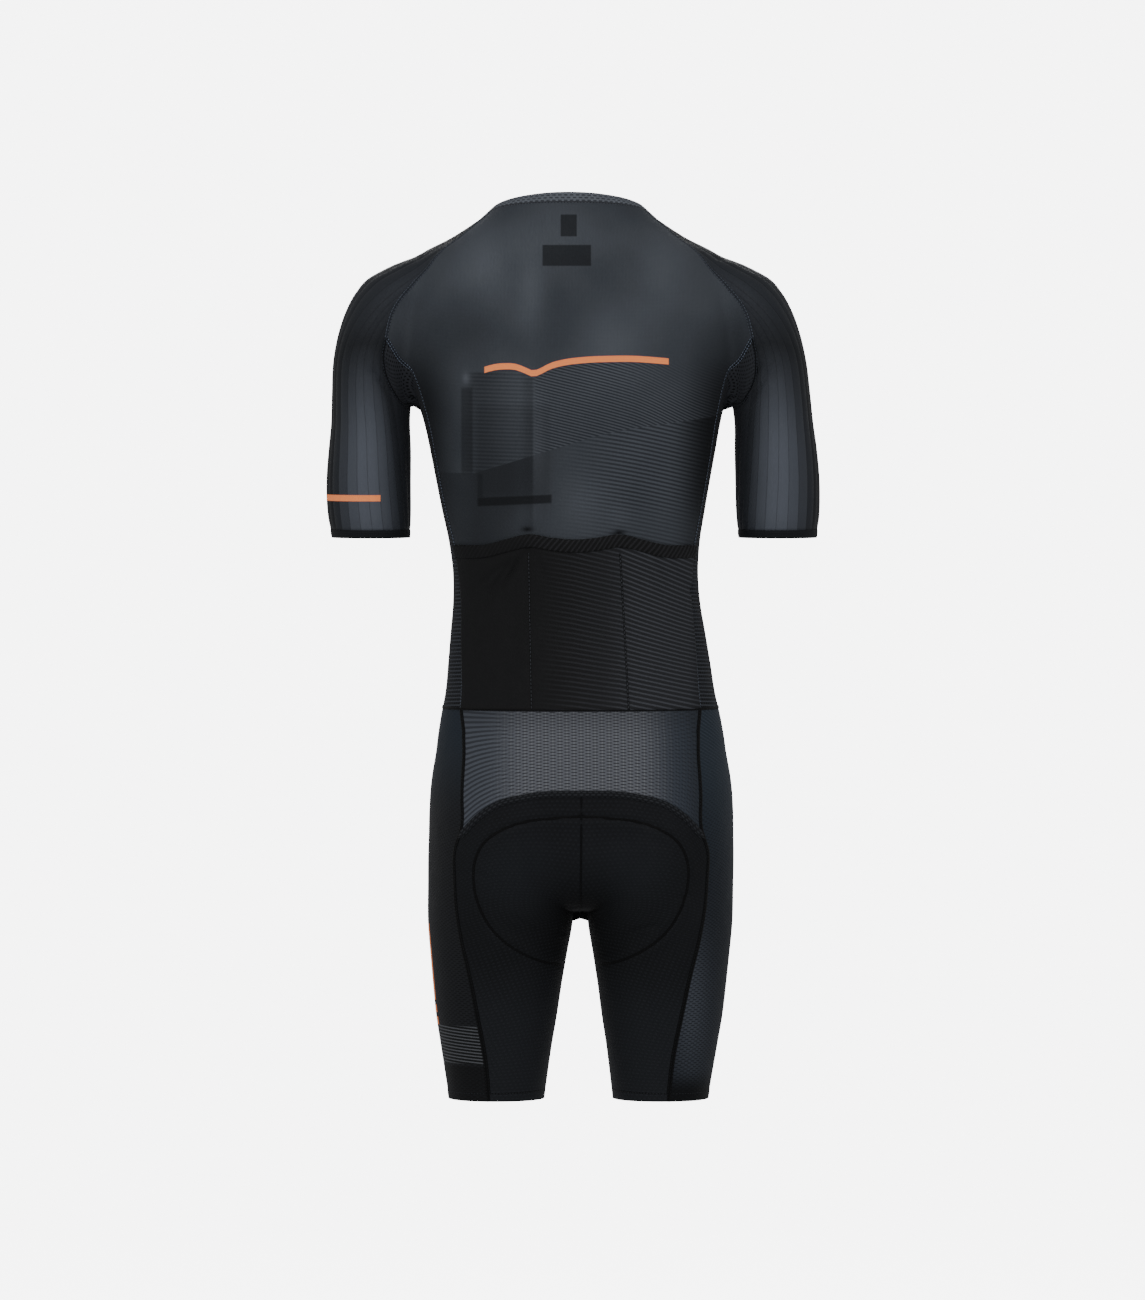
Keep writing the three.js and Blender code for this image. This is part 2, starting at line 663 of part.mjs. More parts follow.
// A hem from the inner line round to an outer seam
function hemRow(chart, innerAngle, outer, columns) {
  const [outerAngle] = chart.read(outer);
  return steps(innerAngle, outerAngle, columns).map((angle, i) => {
    if (i === 0) return innerLeg.at(-1);
    if (i === columns) return outer;
    return chart.place(angle, hemHeight);
  });
}

// Seat: the strip under the arch that the tape covers, then down to the hem
const archHalf = arch.slice(backColumns / 2);
const underTape = archHalf.map((place, i) => {
  if (i === 0) return centreBack[1];
  if (i === seatColumns) return outerBack[yokeRows + 1];
  const x = place.at.x;
  const tilt = archLine(x + 1).height - archLine(x - 1).height;
  return backFace.place(x, place.at.z - tapeWidth * Math.hypot(1, tilt / 2));
});
const hemBack = hemRow(legBackRing, Math.PI, outerBack.at(-1), seatColumns);
const seatGrid = [archHalf, ...patch(legBackRing, {
  start: underTape, end: hemBack, left: centreBack.slice(1), right: outerBack.slice(yokeRows + 1),
})];
const tapeGrid = [arch, [...mirrorRow(underTape.slice(1)).reverse(), ...underTape]];

// Front of the leg: the piece between the fronts' zip edges belongs to both leg fronts
const hemFront = hemRow(legFrontRing, -Math.PI, outerFront.at(-1), frontColumns + 1);
const frontLegGrid = patch(legFrontRing, {
  start: [centreFront[0], ...waistFront], end: hemFront, left: centreFront, right: outerFront,
});

// Outer leg
const hemOuter = (() => {
  const [from, to] = [outerBack.at(-1), outerFront.at(-1)].map((place) => legOuterRing.read(place)[0]);
  return steps(from, to, outerLegColumns).map((angle, i) => {
    if (i === 0) return outerBack.at(-1);
    if (i === outerLegColumns) return outerFront.at(-1);
    return legOuterRing.place(angle, hemHeight);
  });
})();
const outerLegGrid = patch(legOuterRing, {
  start: waistSide, end: hemOuter, left: outerBack, right: outerFront,
});

// ---------------------------------------------------------------- grids of the pieces behind the panels

const rectangle = ([x1, x2], [z1, z2], columns, rows) => (
  steps(z1, z2, rows).map((height) => steps(x1, x2, columns).map((x) => backFace.place(x, height)))
);
const smallLabelGrid = rectangle([-8.5, 8.5], [27, 50], 2, 2);
const largeLabelGrid = rectangle([-23.5, 27.5], [-4, 18], 4, 2);
const innerPocketGrid = rectangle([21, 111], [-252, -126], 5, 6);

// Seat pad: a saddle from the seat through the crotch to the front, by share of its length.
// Outline of one half, as angle round the leg and height
const padOutline = curve(['share', 'angle', 'height'], [
  [0, 97, -588], [0.08, 80.5, -607], [0.17, 74.3, -642], [0.25, 77.4, -676], [0.32, 85.6, -703],
  [0.39, 98.7, -722], [0.46, 121, -737], [0.53, 160, -743], [0.6, 195, -741], [0.68, 222, -728],
  [0.76, 243, -700], [0.84, 252, -660], [0.92, 252, -618], [1, 244, -585],
]);
const padAngles = [13, 152]; // along the middle line, where the pad begins behind and ends in front
const padColumns = 7; // on each side of the middle
const padRows = 18;
const padRing = ringChart(legAxis, degrees(359));
const padHalf = steps(0, 1, padRows).map((share) => {
  const turn = lerp(padAngles[0], padAngles[1], share);
  const middle = middleSite(1, turn);
  const [midAngle, midHeight] = padRing.read(middle);
  const rim = padOutline(share);
  return steps(0, 1, padColumns).map((out) => {
    if (out === 0) return middle;
    return padRing.place(lerp(midAngle, degrees(rim.angle), out), lerp(midHeight, rim.height, out));
  });
});
const padGrid = padHalf.map((row) => [...mirrorRow(row.slice(1)).reverse(), ...row]);

// ---------------------------------------------------------------- from grids to solids

const inward = new THREE.Vector3();
const along = new THREE.Vector3();

// Shifts an edge point in from its seam by half the seam gap, square to the seam along the surface
function drawnIn(grid, j, i, dj, di) {
  const here = grid[j][i];
  const width = grid[0].length;
  const pick = (row, column) => grid[clamp(row, 0, grid.length - 1)][clamp(column, 0, width - 1)].at;
  const before = dj === 0 ? pick(j - 1, i) : pick(j, i - 1);
  const after = dj === 0 ? pick(j + 1, i) : pick(j, i + 1);
  along.copy(after).sub(before);
  inward.crossVectors(here.out, along).normalize();
  const inner = pick(j + dj, i + di).clone().sub(here.at);
  if (inward.dot(inner) < 0) inward.negate();
  return inward.clone().multiplyScalar(seamGap / 2);
}

const none = () => 0;
const full = () => 1;

// A closed body from a grid. The outer face stands off the figure by lift, plus relief, less sunk. The
// inner face lies behind it by the wall's share. A ring's last column joins its first.
function wallGeometry(grid, options) {
  const { lift = 0, wall = clothWall, ring = false, relief = none, sunk = none, share = full } = options;
  const rows = grid.length;
  const columns = grid[0].length;
  const outer = [];
  const inner = [];
  grid.forEach((row, j) => row.forEach((place, i) => {
    const at = place.at.clone();
    if (!ring && i === 0) at.add(drawnIn(grid, j, i, 0, 1));
    if (!ring && i === columns - 1) at.add(drawnIn(grid, j, i, 0, -1));
    const across = ring
      ? grid.map((level) => [level[(i - 1 + columns) % columns], level[i], level[(i + 1) % columns]])
      : grid;
    const column = ring ? 1 : i;
    if (j === 0) at.add(drawnIn(across, j, column, 1, 0));
    if (j === rows - 1) at.add(drawnIn(across, j, column, -1, 0));
    const level = lift - foldDepth(place.at) - sunk(j, i, rows, columns);
    outer.push(at.clone().addScaledVector(place.out, level + relief(j, i, rows)));
    inner.push(at.clone().addScaledVector(place.out, level - wall * share(j, i, rows, columns)));
  }));
  const points = [...outer, ...inner];
  const back = outer.length;
  const index = (j, i) => j * columns + (i % columns);
  const faces = [];
  const quad = (a, b, c, d) => faces.push([a, b, c], [a, c, d]);
  const spans = ring ? columns : columns - 1;
  for (let j = 0; j < rows - 1; j += 1) {
    for (let i = 0; i < spans; i += 1) {
      const [a, b, c, d] = [index(j, i), index(j, i + 1), index(j + 1, i + 1), index(j + 1, i)];
      quad(a, b, c, d);
      quad(back + a, back + d, back + c, back + b);
    }
    if (!ring) {
      quad(index(j, 0), index(j + 1, 0), back + index(j + 1, 0), back + index(j, 0));
      const last = columns - 1;
      quad(index(j + 1, last), index(j, last), back + index(j, last), back + index(j + 1, last));
    }
  }
  for (let i = 0; i < spans; i += 1) {
    quad(index(0, i + 1), index(0, i), back + index(0, i), back + index(0, i + 1));
    const top = rows - 1;
    quad(index(top, i), index(top, i + 1), back + index(top, i + 1), back + index(top, i));
  }
  const [a, b, d] = [index(0, 0), index(0, 1), index(1, 0)];
  const facing = points[b].clone().sub(points[a]).cross(points[d].clone().sub(points[a]));
  const turnedOut = facing.dot(grid[0][0].out) > 0;
  const geometry = new THREE.BufferGeometry();
  const leaning = points.flatMap((point) => [point.x + lean(point.z).x, point.y, point.z]);
  geometry.setAttribute('position', new THREE.Float32BufferAttribute(leaning, 3));
  geometry.setIndex(faces.flatMap((face) => (turnedOut ? face : [face[0], face[2], face[1]])));
  return geometry;
}

const skinsuit = new THREE.Group();

function finish(color, roughness, metalness = 0) {
  return new THREE.MeshStandardMaterial({ color, roughness, metalness });
}

function add(name, geometry, material) {
  geometry.computeVertexNormals();
  const mesh = new THREE.Mesh(geometry, material);
  mesh.name = name;
  skinsuit.add(mesh);
  return mesh;
}

const addPanel = (name, grid, material, options = {}) => add(name, wallGeometry(grid, options), material);

function addPair(name, grid, material, options = {}) {
  addPanel(`${name}_left`, grid, material, options);
  addPanel(`${name}_right`, mirrorGrid(grid), material, options);
}

const overPanel = seamGap + clothWall; // outer face of what lies on a panel
const overPocket = overPanel + seamGap + clothWall;
const behindPanel = -clothWall - innerClearance;

const sheerCloth = finish(0x34373c, 0.7);
const sleeveCloth = finish(0x3a3d43, 0.65);
const pocketCloth = finish(0x1e1e1f, 0.75);
const yokeCloth = finish(0x4d4f54, 0.7);
const seatCloth = finish(0x171719, 0.6);
const outerLegCloth = finish(0x222326, 0.65);
const trimCloth = finish(0x2c2e32, 0.75);
const padFoam = finish(0x222326, 0.85);

// Upper half
addPanel('back_panel', backGrid, sheerCloth);
addPair('front', frontGrid, sheerCloth);
addPair('side_panel', sideGrid, pocketCloth);
const rib = (j, i, rows) => (i % 2 === 1 && j > 0 && j < rows - 1 ? ribHeight : 0);
addPair('sleeve', sleeveGrid, sleeveCloth, { ring: true, relief: rib });
addPair('cuff_band', cuffBandGrid, trimCloth, { ring: true });
addPanel('neckband', neckBandGrid, yokeCloth);

// Pockets
addPanel('pocket_panel', [...pocketGrid, mouthRow], pocketCloth, { lift: overPanel });
addPanel('pocket_binding', [bindingRow, mouthRow], trimCloth, { lift: overPocket });
addPanel('inner_pocket', innerPocketGrid, pocketCloth, { lift: behindPanel, wall: 1 });
addPanel('neck_label_small', smallLabelGrid, trimCloth, { lift: behindPanel, wall: 1 });
addPanel('neck_label_large', largeLabelGrid, trimCloth, { lift: behindPanel, wall: 1 });

// Lower half
addPanel('yoke_back', yokeGrid, yokeCloth);
addPair('seat', seatGrid, seatCloth);
addPanel('seat_tape', tapeGrid, trimCloth, { lift: overPanel });
addPair('side_leg', outerLegGrid, outerLegCloth);
addPair('front_leg', frontLegGrid, seatCloth);

// The pad swells towards its middle and stands off the facets of the crotch there
const padThickness = 7;
const padEdge = 0.22; // the rim's share of the full thickness
const padLift = -clothWall - 2;
const padStandOff = 7;
const padSwell = (j, i, rows, columns) => {
  const crosswise = Math.abs(2 * i / (columns - 1) - 1) ** 4;
  const lengthwise = Math.abs(2 * j / (rows - 1) - 1) ** 6;
  return (1 - crosswise) * (1 - lengthwise);
};
addPanel('seat_pad', padGrid, padFoam, {
  lift: padLift,
  wall: padThickness,
  share: (...spot) => lerp(padEdge, 1, padSwell(...spot)),
  sunk: (...spot) => padStandOff * padSwell(...spot),
});

// ---------------------------------------------------------------- zip

const zipRun = [...zipHeights, lerp(neckLine(-90).seam, neckLine(-90).edge, 0.5), neckLine(-90).edge];
const zipStrip = (x1, x2) => zipRun.map((height) => {
  return [frontFace.place(x1, height), frontFace.place(x2, height)];
});
addPair('zip_tape', zipStrip(coilHalf + seamGap / 2, zipTapeEdge), trimCloth, {
  lift: behindPanel + seamGap, wall: tapeThickness,
});
const coilEdge = coilHalf + seamGap / 2;
addPanel('zip_coil', zipStrip(-coilEdge, coilEdge), trimCloth, { wall: coilThickness });

// The slider stands at the top of the zip, in a frame of its own: x across, y up the front, z out of it
const sliderHeight = -8;
const sliderSite = frontFace.place(0, sliderHeight);
const upFront = new THREE.Vector3(1, 0, 0).cross(sliderSite.out).negate();
const sliderFrame = new THREE.Matrix4().makeBasis(new THREE.Vector3(1, 0, 0), upFront, sliderSite.out);
sliderFrame.setPosition(sliderSite.at.x + lean(sliderHeight).x, sliderSite.at.y, sliderSite.at.z);

const sliderLength = 11;
const sliderWidth = 8;
const sliderThickness = 2;
const lugGap = 1.7; // from the middle to a lug's inner face
const lugWidth = 1.2;
const pinRadius = 0.6;
const pinHeight = 4.1;
const eyeRadius = 1.4;
const eyeBore = 0.95;

function solidOf(geometry) {
  const bare = geometry.index ? geometry.clone() : geometry;
  bare.deleteAttribute('normal');
  bare.deleteAttribute('uv');
  const merged = mergeVertices(bare, 1e-4);
  return new wasm.Manifold(new wasm.Mesh({
    numProp: 3,
    vertProperties: new Float32Array(merged.attributes.position.array),
    triVerts: new Uint32Array(merged.index.array),
  }));
}

function joined(...geometries) {
  const whole = geometries.map(solidOf).reduce((sum, part) => sum.add(part));
  const mesh = whole.getMesh();
  const geometry = new THREE.BufferGeometry();
  geometry.setAttribute('position', new THREE.Float32BufferAttribute(mesh.vertProperties, 3));
  geometry.setIndex([...mesh.triVerts]);
  return geometry;
}

// An outline through corners with each corner rounded
function roundedOutline(corners, radius) {
  const shape = new THREE.Shape();
  corners.forEach((corner, i) => {
    const before = corners.at(i - 1);
    const after = corners[(i + 1) % corners.length];
    const enter = corner.clone().add(before.clone().sub(corner).setLength(radius));
    const leave = corner.clone().add(after.clone().sub(corner).setLength(radius));
    if (i === 0) shape.moveTo(enter.x, enter.y);
    else shape.lineTo(enter.x, enter.y);
    shape.quadraticCurveTo(corner.x, corner.y, leave.x, leave.y);
  });
  shape.closePath();
  return shape;
}
function flat(shape, depth) {
  return new THREE.ExtrudeGeometry(shape, { depth, bevelEnabled: false, curveSegments: 3 });
}

const half = sliderWidth / 2;
const sliderBody = flat(roundedOutline([
  new THREE.Vector2(-half, sliderLength / 2),
  new THREE.Vector2(-half * 0.75, -sliderLength / 2),
  new THREE.Vector2(half * 0.75, -sliderLength / 2),
  new THREE.Vector2(half, sliderLength / 2),
], 1.6), sliderThickness).translate(0, 0, seamGap);
const lugTop = pinHeight + 1.3;
const lugBase = seamGap + sliderThickness - 0.3;
const lug = (side) => new THREE.BoxGeometry(lugWidth, 3.6, lugTop - lugBase)
  .translate(side * (lugGap + lugWidth / 2), 0, (lugTop + lugBase) / 2);
const pin = new THREE.CylinderGeometry(pinRadius, pinRadius, 2 * lugGap + lugWidth, 10)
  .rotateZ(Math.PI / 2).translate(0, 0, pinHeight);
const dark = finish(0x1a1a1c, 0.4, 0.6);
const slider = add('zip_slider', joined(sliderBody, lug(-1), lug(1), pin), dark);
slider.applyMatrix4(sliderFrame);

// Pull tab: an eye round the pin and a slotted plate that lies down the front
const eyeHalf = lugGap - seamGap;
const eye = new THREE.LatheGeometry([
  new THREE.Vector2(eyeBore, -eyeHalf),
  new THREE.Vector2(eyeRadius, -eyeHalf),
  new THREE.Vector2(eyeRadius, eyeHalf),
  new THREE.Vector2(eyeBore, eyeHalf),
  new THREE.Vector2(eyeBore, -eyeHalf),
], 16).rotateZ(Math.PI / 2).translate(0, 0, pinHeight);
const tabLength = 23;
const tabHalf = 3.4;
const tabThickness = 1.2;
const tabOutline = roundedOutline([
  new THREE.Vector2(-eyeHalf, -(eyeBore + 0.2)),
  new THREE.Vector2(-eyeHalf, -5),
  new THREE.Vector2(-tabHalf, -9),
  new THREE.Vector2(-tabHalf, -tabLength),
  new THREE.Vector2(tabHalf, -tabLength),
  new THREE.Vector2(tabHalf, -9),
  new THREE.Vector2(eyeHalf, -5),
  new THREE.Vector2(eyeHalf, -(eyeBore + 0.2)),
], 0.9);
tabOutline.holes.push(roundedOutline([
  new THREE.Vector2(1.4, -11),
  new THREE.Vector2(1.4, -20),
  new THREE.Vector2(-1.4, -20),
  new THREE.Vector2(-1.4, -11),
], 1));
const tab = flat(tabOutline, tabThickness).translate(0, 0, pinHeight - tabThickness / 2);
const pull = add('zip_pull', joined(eye, tab), dark.clone());
pull.applyMatrix4(sliderFrame);

export default skinsuit;
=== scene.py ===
import json
import math
import bpy
import numpy as np
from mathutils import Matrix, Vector

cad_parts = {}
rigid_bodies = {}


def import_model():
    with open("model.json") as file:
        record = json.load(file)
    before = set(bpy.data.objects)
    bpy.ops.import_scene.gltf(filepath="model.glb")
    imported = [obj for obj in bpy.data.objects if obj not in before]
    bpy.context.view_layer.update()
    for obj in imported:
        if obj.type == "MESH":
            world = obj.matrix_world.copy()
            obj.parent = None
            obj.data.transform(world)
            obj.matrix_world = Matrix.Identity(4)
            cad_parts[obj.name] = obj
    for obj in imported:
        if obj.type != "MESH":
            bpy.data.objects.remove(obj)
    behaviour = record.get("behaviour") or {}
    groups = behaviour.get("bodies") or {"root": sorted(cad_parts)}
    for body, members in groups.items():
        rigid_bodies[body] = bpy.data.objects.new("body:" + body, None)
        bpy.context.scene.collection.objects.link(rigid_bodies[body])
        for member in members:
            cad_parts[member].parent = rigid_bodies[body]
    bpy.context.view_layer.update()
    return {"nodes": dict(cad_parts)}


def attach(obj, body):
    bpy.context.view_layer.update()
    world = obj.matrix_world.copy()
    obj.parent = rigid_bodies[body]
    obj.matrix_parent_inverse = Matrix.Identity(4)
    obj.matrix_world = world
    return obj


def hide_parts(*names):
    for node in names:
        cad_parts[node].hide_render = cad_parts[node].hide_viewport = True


# A short-sleeved road skinsuit in its worn shape. Sizes in this script are millimetres, and the meshes are
# written in metres. The wearer's left is +x, the back faces +y, and the origin is between the shoulders.
for left in list(bpy.data.objects):
    bpy.data.objects.remove(left)
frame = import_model()
print("frame loaded")

suit = {"clothThickness": 0.7, "zipOpening": 5.0}


# Cubic spans through a table's rows, each end with the mean slope of its neighbours, read by fine linear
# steps.
def smoothTable(rows):
    table = np.array(sorted(rows), float)
    keys, values = table[:, 0], table[:, 1:]
    slopes = np.gradient(values, keys, axis=0)
    fine = np.linspace(keys[0], keys[-1], 4000)
    i = np.clip(np.searchsorted(keys, fine, side="right") - 1, 0, len(keys) - 2)
    span = (keys[i + 1] - keys[i])[:, None]
    t = (fine - keys[i])[:, None] / span
    early = 2 * t**3 - 3 * t**2 + 1
    line = early * values[i] + (1 - early) * values[i + 1]
    line += (t**3 - 2 * t**2 + t) * span * slopes[i] + (t**3 - t**2) * span * slopes[i + 1]

    def at(key):
        where = (np.clip(key, keys[0], keys[-1]) - keys[0]) / (keys[-1] - keys[0]) * 3999
        low = np.minimum(where.astype(int), 3998)
        part = (where - low)[..., None]
        return np.moveaxis(line[low] * (1 - part) + line[low + 1] * part, -1, 0)

    return at


# height: half width, depth behind, depth in front, squareness
torso = smoothTable([
    [120, 58, 40, 62, 2.0], [95, 60, 46, 60, 2.0], [74, 66, 52, 58, 2.0], [62, 76, 56, 57, 2.0],
    [51, 87, 61, 57, 2.0], [42, 99, 65, 57, 2.0], [26, 123, 73, 59, 2.05], [8, 157, 81, 62, 2.15],
    [-8, 171, 87, 67, 2.2], [-24, 179, 92, 74, 2.25], [-40, 181, 96, 83, 2.3], [-72, 181, 104, 97, 2.35],
    [-104, 177, 109, 108, 2.4], [-140, 165, 112, 115, 2.4], [-170, 157, 112, 118, 2.35],
    [-200, 151, 109, 118, 2.3], [-232, 145, 104, 117, 2.25], [-264, 139, 98, 114, 2.25],
    [-296, 133, 91, 110, 2.25], [-328, 130, 86, 106, 2.25], [-360, 131, 83, 103, 2.25],
    [-392, 135, 85, 101, 2.3], [-424, 139, 90, 101, 2.3], [-456, 143, 97, 102, 2.3],
    [-480, 148, 104, 102, 2.3], [-512, 153, 111, 101, 2.3], [-544, 155, 115, 98, 2.25],
    [-576, 153, 115, 96, 2.2], [-606, 145, 113, 92, 2.15], [-634, 131, 108, 87, 2.1],
    [-654, 110, 98, 78, 2.0], [-668, 88, 84, 67, 2.0], [-678, 64, 65, 53, 2.0], [-684, 40, 43, 36, 2.0],
    [-687, 18, 20, 18, 2.0], [-688, 6, 6, 6, 2.0],
])
# height: middle across, half width, middle in depth, half depth
arm = smoothTable([
    [10, 112, 14, 4, 12], [5, 141, 14, 4, 16], [-2, 159, 22, 5, 26], [-9, 168.5, 28.5, 5, 33],
    [-16, 175, 35, 5, 40], [-32, 187, 38, 6, 47],
    [-50, 196, 39, 6, 51], [-72, 203, 40, 6, 54], [-104, 209, 41, 5, 55], [-140, 212, 41, 3, 55],
    [-170, 213.5, 41.5, 1, 54], [-200, 215, 43.5, -2, 53], [-232, 216.5, 44.5, -5, 52],
    [-264, 216.5, 44, -8, 50], [-296, 215.5, 41, -11, 47], [-330, 214, 38, -14, 44],
])
# height: middle across, half width, depth behind, depth in front
leg = smoothTable([
    [-500, 66, 70, 98, 88], [-540, 76, 77, 112, 92], [-580, 81, 79, 118, 93], [-620, 83, 79, 119, 91],
    [-660, 84, 78, 113, 87], [-700, 85, 76.5, 104, 82], [-735, 86.5, 72, 96, 77], [-766, 87.5, 68, 89, 73],
    [-798, 88, 64, 82, 69], [-830, 88, 58.8, 75, 66], [-862, 87.5, 54, 69, 63], [-890, 87, 50, 65, 61],
    [-920, 86, 46, 61, 59],
])
# height: how far the middle line stands to one side
lean = smoothTable([
    [130, 4], [0, 4], [-100, 3], [-180, 0], [-260, -1], [-350, -4], [-450, -8], [-560, -9.3],
    [-700, -8.2], [-920, -6],
])


# ((|x / half|^n + |y / depth|^n)^(1/n) - 1) times the smaller half: under 0 inside a rounded section.
def rounded(x, y, half, depth, square):
    ratio = (np.abs(x / half) ** square + np.abs(y / depth) ** square) ** (1 / square)
    return (ratio - 1) * np.minimum(half, depth)


# The smaller of two distances, rounded off where they are within radius of each other.
def softMin(a, b, radius):
    near = np.maximum(radius - np.abs(a - b), 0) / radius
    return np.minimum(a, b) - near * near * radius / 4


# About the distance outside the torso, arms and legs, blended where they meet; under 0 inside.
def figure(p):
    x, y, z = p[..., 0], p[..., 1], p[..., 2]
    side = np.abs(x)
    half, back, front, square = torso(z)
    trunk = rounded(x, y, half, np.where(y >= 0, back, front), square)
    trunk += np.maximum(z - 120, 0) + np.maximum(-688 - z, 0)
    armX, armHalf, armY, armDeep = arm(z)
    upper = (rounded(side - armX, y - armY, armHalf, armDeep, 2.0)
             + np.maximum(z - 10, 0) + np.maximum(-330 - z, 0))
    legX, legHalf, legBack, legFront = leg(z)
    deep = np.where(y >= 0, legBack, legFront)
    beyond = np.maximum(z + 500, 0) + np.maximum(-920 - z, 0)
    near = rounded(side - legX, y, legHalf, deep, 2.15) + beyond
    far = rounded(side + legX, y, legHalf, deep, 2.15) + beyond
    return softMin(softMin(trunk, upper, 14), softMin(near, far, 16), 12)


# The figure's rate of change along x, y and z, from places 0.4 to each side.
def slope(p):
    steps = np.eye(3) * 0.4
    return np.stack([figure(p + s) - figure(p - s) for s in steps], -1) / 0.8


# The direction that faces out at a place: the slope at unit length.
def outward(p):
    way = slope(p)
    return way / np.linalg.norm(way, axis=-1, keepdims=True)


# Newton's steps from p on to the figure along its slope, or along the slope's level part.
def settle(p, level=False, turns=8):
    p = np.array(p, float)
    for _ in range(turns):
        way = slope(p)
        if level:
            way[..., 2] = 0
        p = p - way * (figure(p) / (way**2).sum(-1))[..., None]
    return p


# Where start + t * way first leaves the figure: strides of 6, then halving.
def crossing(start, way):
    shape = np.broadcast_shapes(start.shape, way.shape)
    start, way = (np.broadcast_to(a, shape).reshape(-1, 3).astype(float) for a in (start, way))
    near = np.zeros(len(start))
    far = np.full(len(start), 6.0)
    inside = np.arange(len(start))
    for _ in range(50):
        inside = inside[figure(start[inside] + way[inside] * far[inside, None]) < 0]
        if not len(inside):
            break
        near[inside] = far[inside]
        far[inside] += 6
    for _ in range(13):
        middle = (near + far) / 2
        within = figure(start + way * middle[:, None]) < 0
        near = np.where(within, middle, near)
        far = np.where(within, far, middle)
    return (start + way * near[:, None]).reshape(shape)


def xyz(x, y, z):
    return np.stack(np.broadcast_arrays(*(np.asarray(a, float) for a in (x, y, z))), -1)


# Charts: two numbers for a place on a panel. A ring has angle and height, a face has x and height.
sleeveAxis = smoothTable([
    [60, 45, 0], [30, 80, 0], [0, 118, 2], [-30, 155, 4], [-60, 185, 6], [-90, 203, 5], [-140, 212, 3],
    [-170, 213.5, 1], [-200, 215, -2], [-232, 216.5, -5], [-264, 216.5, -8], [-296, 215.5, -11],
])


def trunkAxis(z):
    return np.zeros_like(z), np.zeros_like(z)


def legAxis(z):
    return leg(z)[0], np.zeros_like(z)


# Places and numbers round an axis: out from (x(z), y(z), z) along (cos a, sin a, 0).
def onRing(axis):

    def place(angle, height):
        angle, height = np.broadcast_arrays(np.asarray(angle, float), np.asarray(height, float))
        x, y = axis(height)
        return crossing(xyz(x, y, height), xyz(np.cos(angle), np.sin(angle), 0))

    def read(p, cut=math.pi):
        x, y = axis(p[..., 2])
        angle = np.arctan2(p[..., 1] - y, p[..., 0] - x)
        return np.stack([angle - 2 * math.pi * np.ceil((angle - cut) / (2 * math.pi)), p[..., 2]], -1)

    return place, read


# Places and numbers on the back or the front: out from (x, 0, z) along y.
def onFace(side):

    def place(x, height):
        return crossing(xyz(x, 0, height), xyz(0, side, 0))

    def read(p, cut=0):
        return np.stack([p[..., 0], p[..., 2]], -1)

    return place, read


trunkRing, sleeveRing, legRing = onRing(trunkAxis), onRing(sleeveAxis), onRing(legAxis)
backFace, frontFace = onFace(1), onFace(-1)


# Between four seams on a chart: start swept to end, plus each side's own departure from that sweep.
def patch(chart, start, end, left, right, cut=math.pi):
    place, read = chart
    s, e, l, r = (read(row, cut) for row in (start, end, left, right))
    share = lambda row, k: (row[:, k] - row[0, k]) / (row[-1, k] - row[0, k])
    u = ((share(s, 0) + share(e, 0)) / 2)[None, :, None]
    v = ((share(l, 1) + share(r, 1)) / 2)[:, None, None]
    swept = s[None] * (1 - v) + e[None] * v
    offLeft = l[:, None] - (l[0] * (1 - v) + l[-1] * v)
    offRight = r[:, None] - (r[0] * (1 - v) + r[-1] * v)
    numbers = swept + offLeft * (1 - u) + offRight * u
    grid = place(numbers[..., 0], numbers[..., 1])
    grid[0], grid[-1], grid[:, 0], grid[:, -1] = start, end, left, right
    return grid


def onSeam(line, heights):
    x, y = line(heights)
    return settle(xyz(x, y, heights), level=True)


def mirror(grid):
    return grid * np.array([-1.0, 1.0, 1.0])


# Even steps through several stretches: (from, to, count) triples, each joined to the next.
def along(*stops):
    parts = [np.linspace(a, b, n + 1)[(0 if k == 0 else 1):] for k, (a, b, n) in enumerate(stops)]
    return np.concatenate(parts)


# Seams, on the wearer's left half: height: x, y
sideBackLine = smoothTable([
    [-80, 193, 58], [-97, 183, 50], [-112, 171, 46], [-126, 163, 44], [-141, 157, 42], [-167, 152, 40],
    [-198, 147, 36], [-231, 141, 32], [-273, 133, 31], [-321, 125, 34], [-360, 122, 38], [-400, 124, 45],
    [-436, 126, 53], [-471, 126, 59],
])
sideFrontLine = smoothTable([
    [-88, 182, -50], [-104, 175, -46], [-120, 167, -44], [-141, 159, -43], [-167, 153, -42], [-198, 147, -40],
    [-231, 141, -39], [-298, 127, -39], [-360, 123, -43], [-420, 127, -49], [-471, 131, -53],
])
raglanBackLine = smoothTable([
    [-80, 193, 58], [-67, 190.5, 57], [-53, 186, 56], [-40, 178.5, 54], [-25, 166, 50], [-3, 146, 45],
    [25, 118, 27], [40, 101, 17], [54, 83, 11.6],
])
raglanFrontLine = smoothTable([
    [-88, 182, -50], [-70, 177, -49], [-50, 167, -47], [-25, 150, -45], [0, 133, -40], [20, 114, -32],
    [36, 96.5, -26],
])
outerBackLine = smoothTable([
    [-471, 126, 59], [-500, 123, 72], [-530, 121.5, 84], [-560, 122.5, 93], [-597, 126, 101],
    [-619, 132.5, 95], [-648, 133, 93], [-676, 131, 90], [-710, 126, 88], [-756, 115.5, 85],
    [-793, 108, 80], [-835, 100, 73], [-886, 94.5, 65],
])
outerFrontLine = smoothTable([
    [-471, 131, -53], [-510, 135, -57], [-560, 137, -64], [-620, 137, -66], [-700, 129, -62],
    [-756, 120, -58], [-835, 110, -52], [-886, 105, -48],
])
neckLine = smoothTable([  # angle from the wearer's left: seam height, upper edge height
    [-120, -2, 9], [-90, -8, 4], [-60, -2, 9], [-30, 22, 32], [-15, 36, 45], [0, 49.5, 57.5], [12, 56, 62.8],
    [27, 60, 67.4], [50, 62.6, 71.6], [90, 63.6, 74], [130, 62.6, 71.6],
])
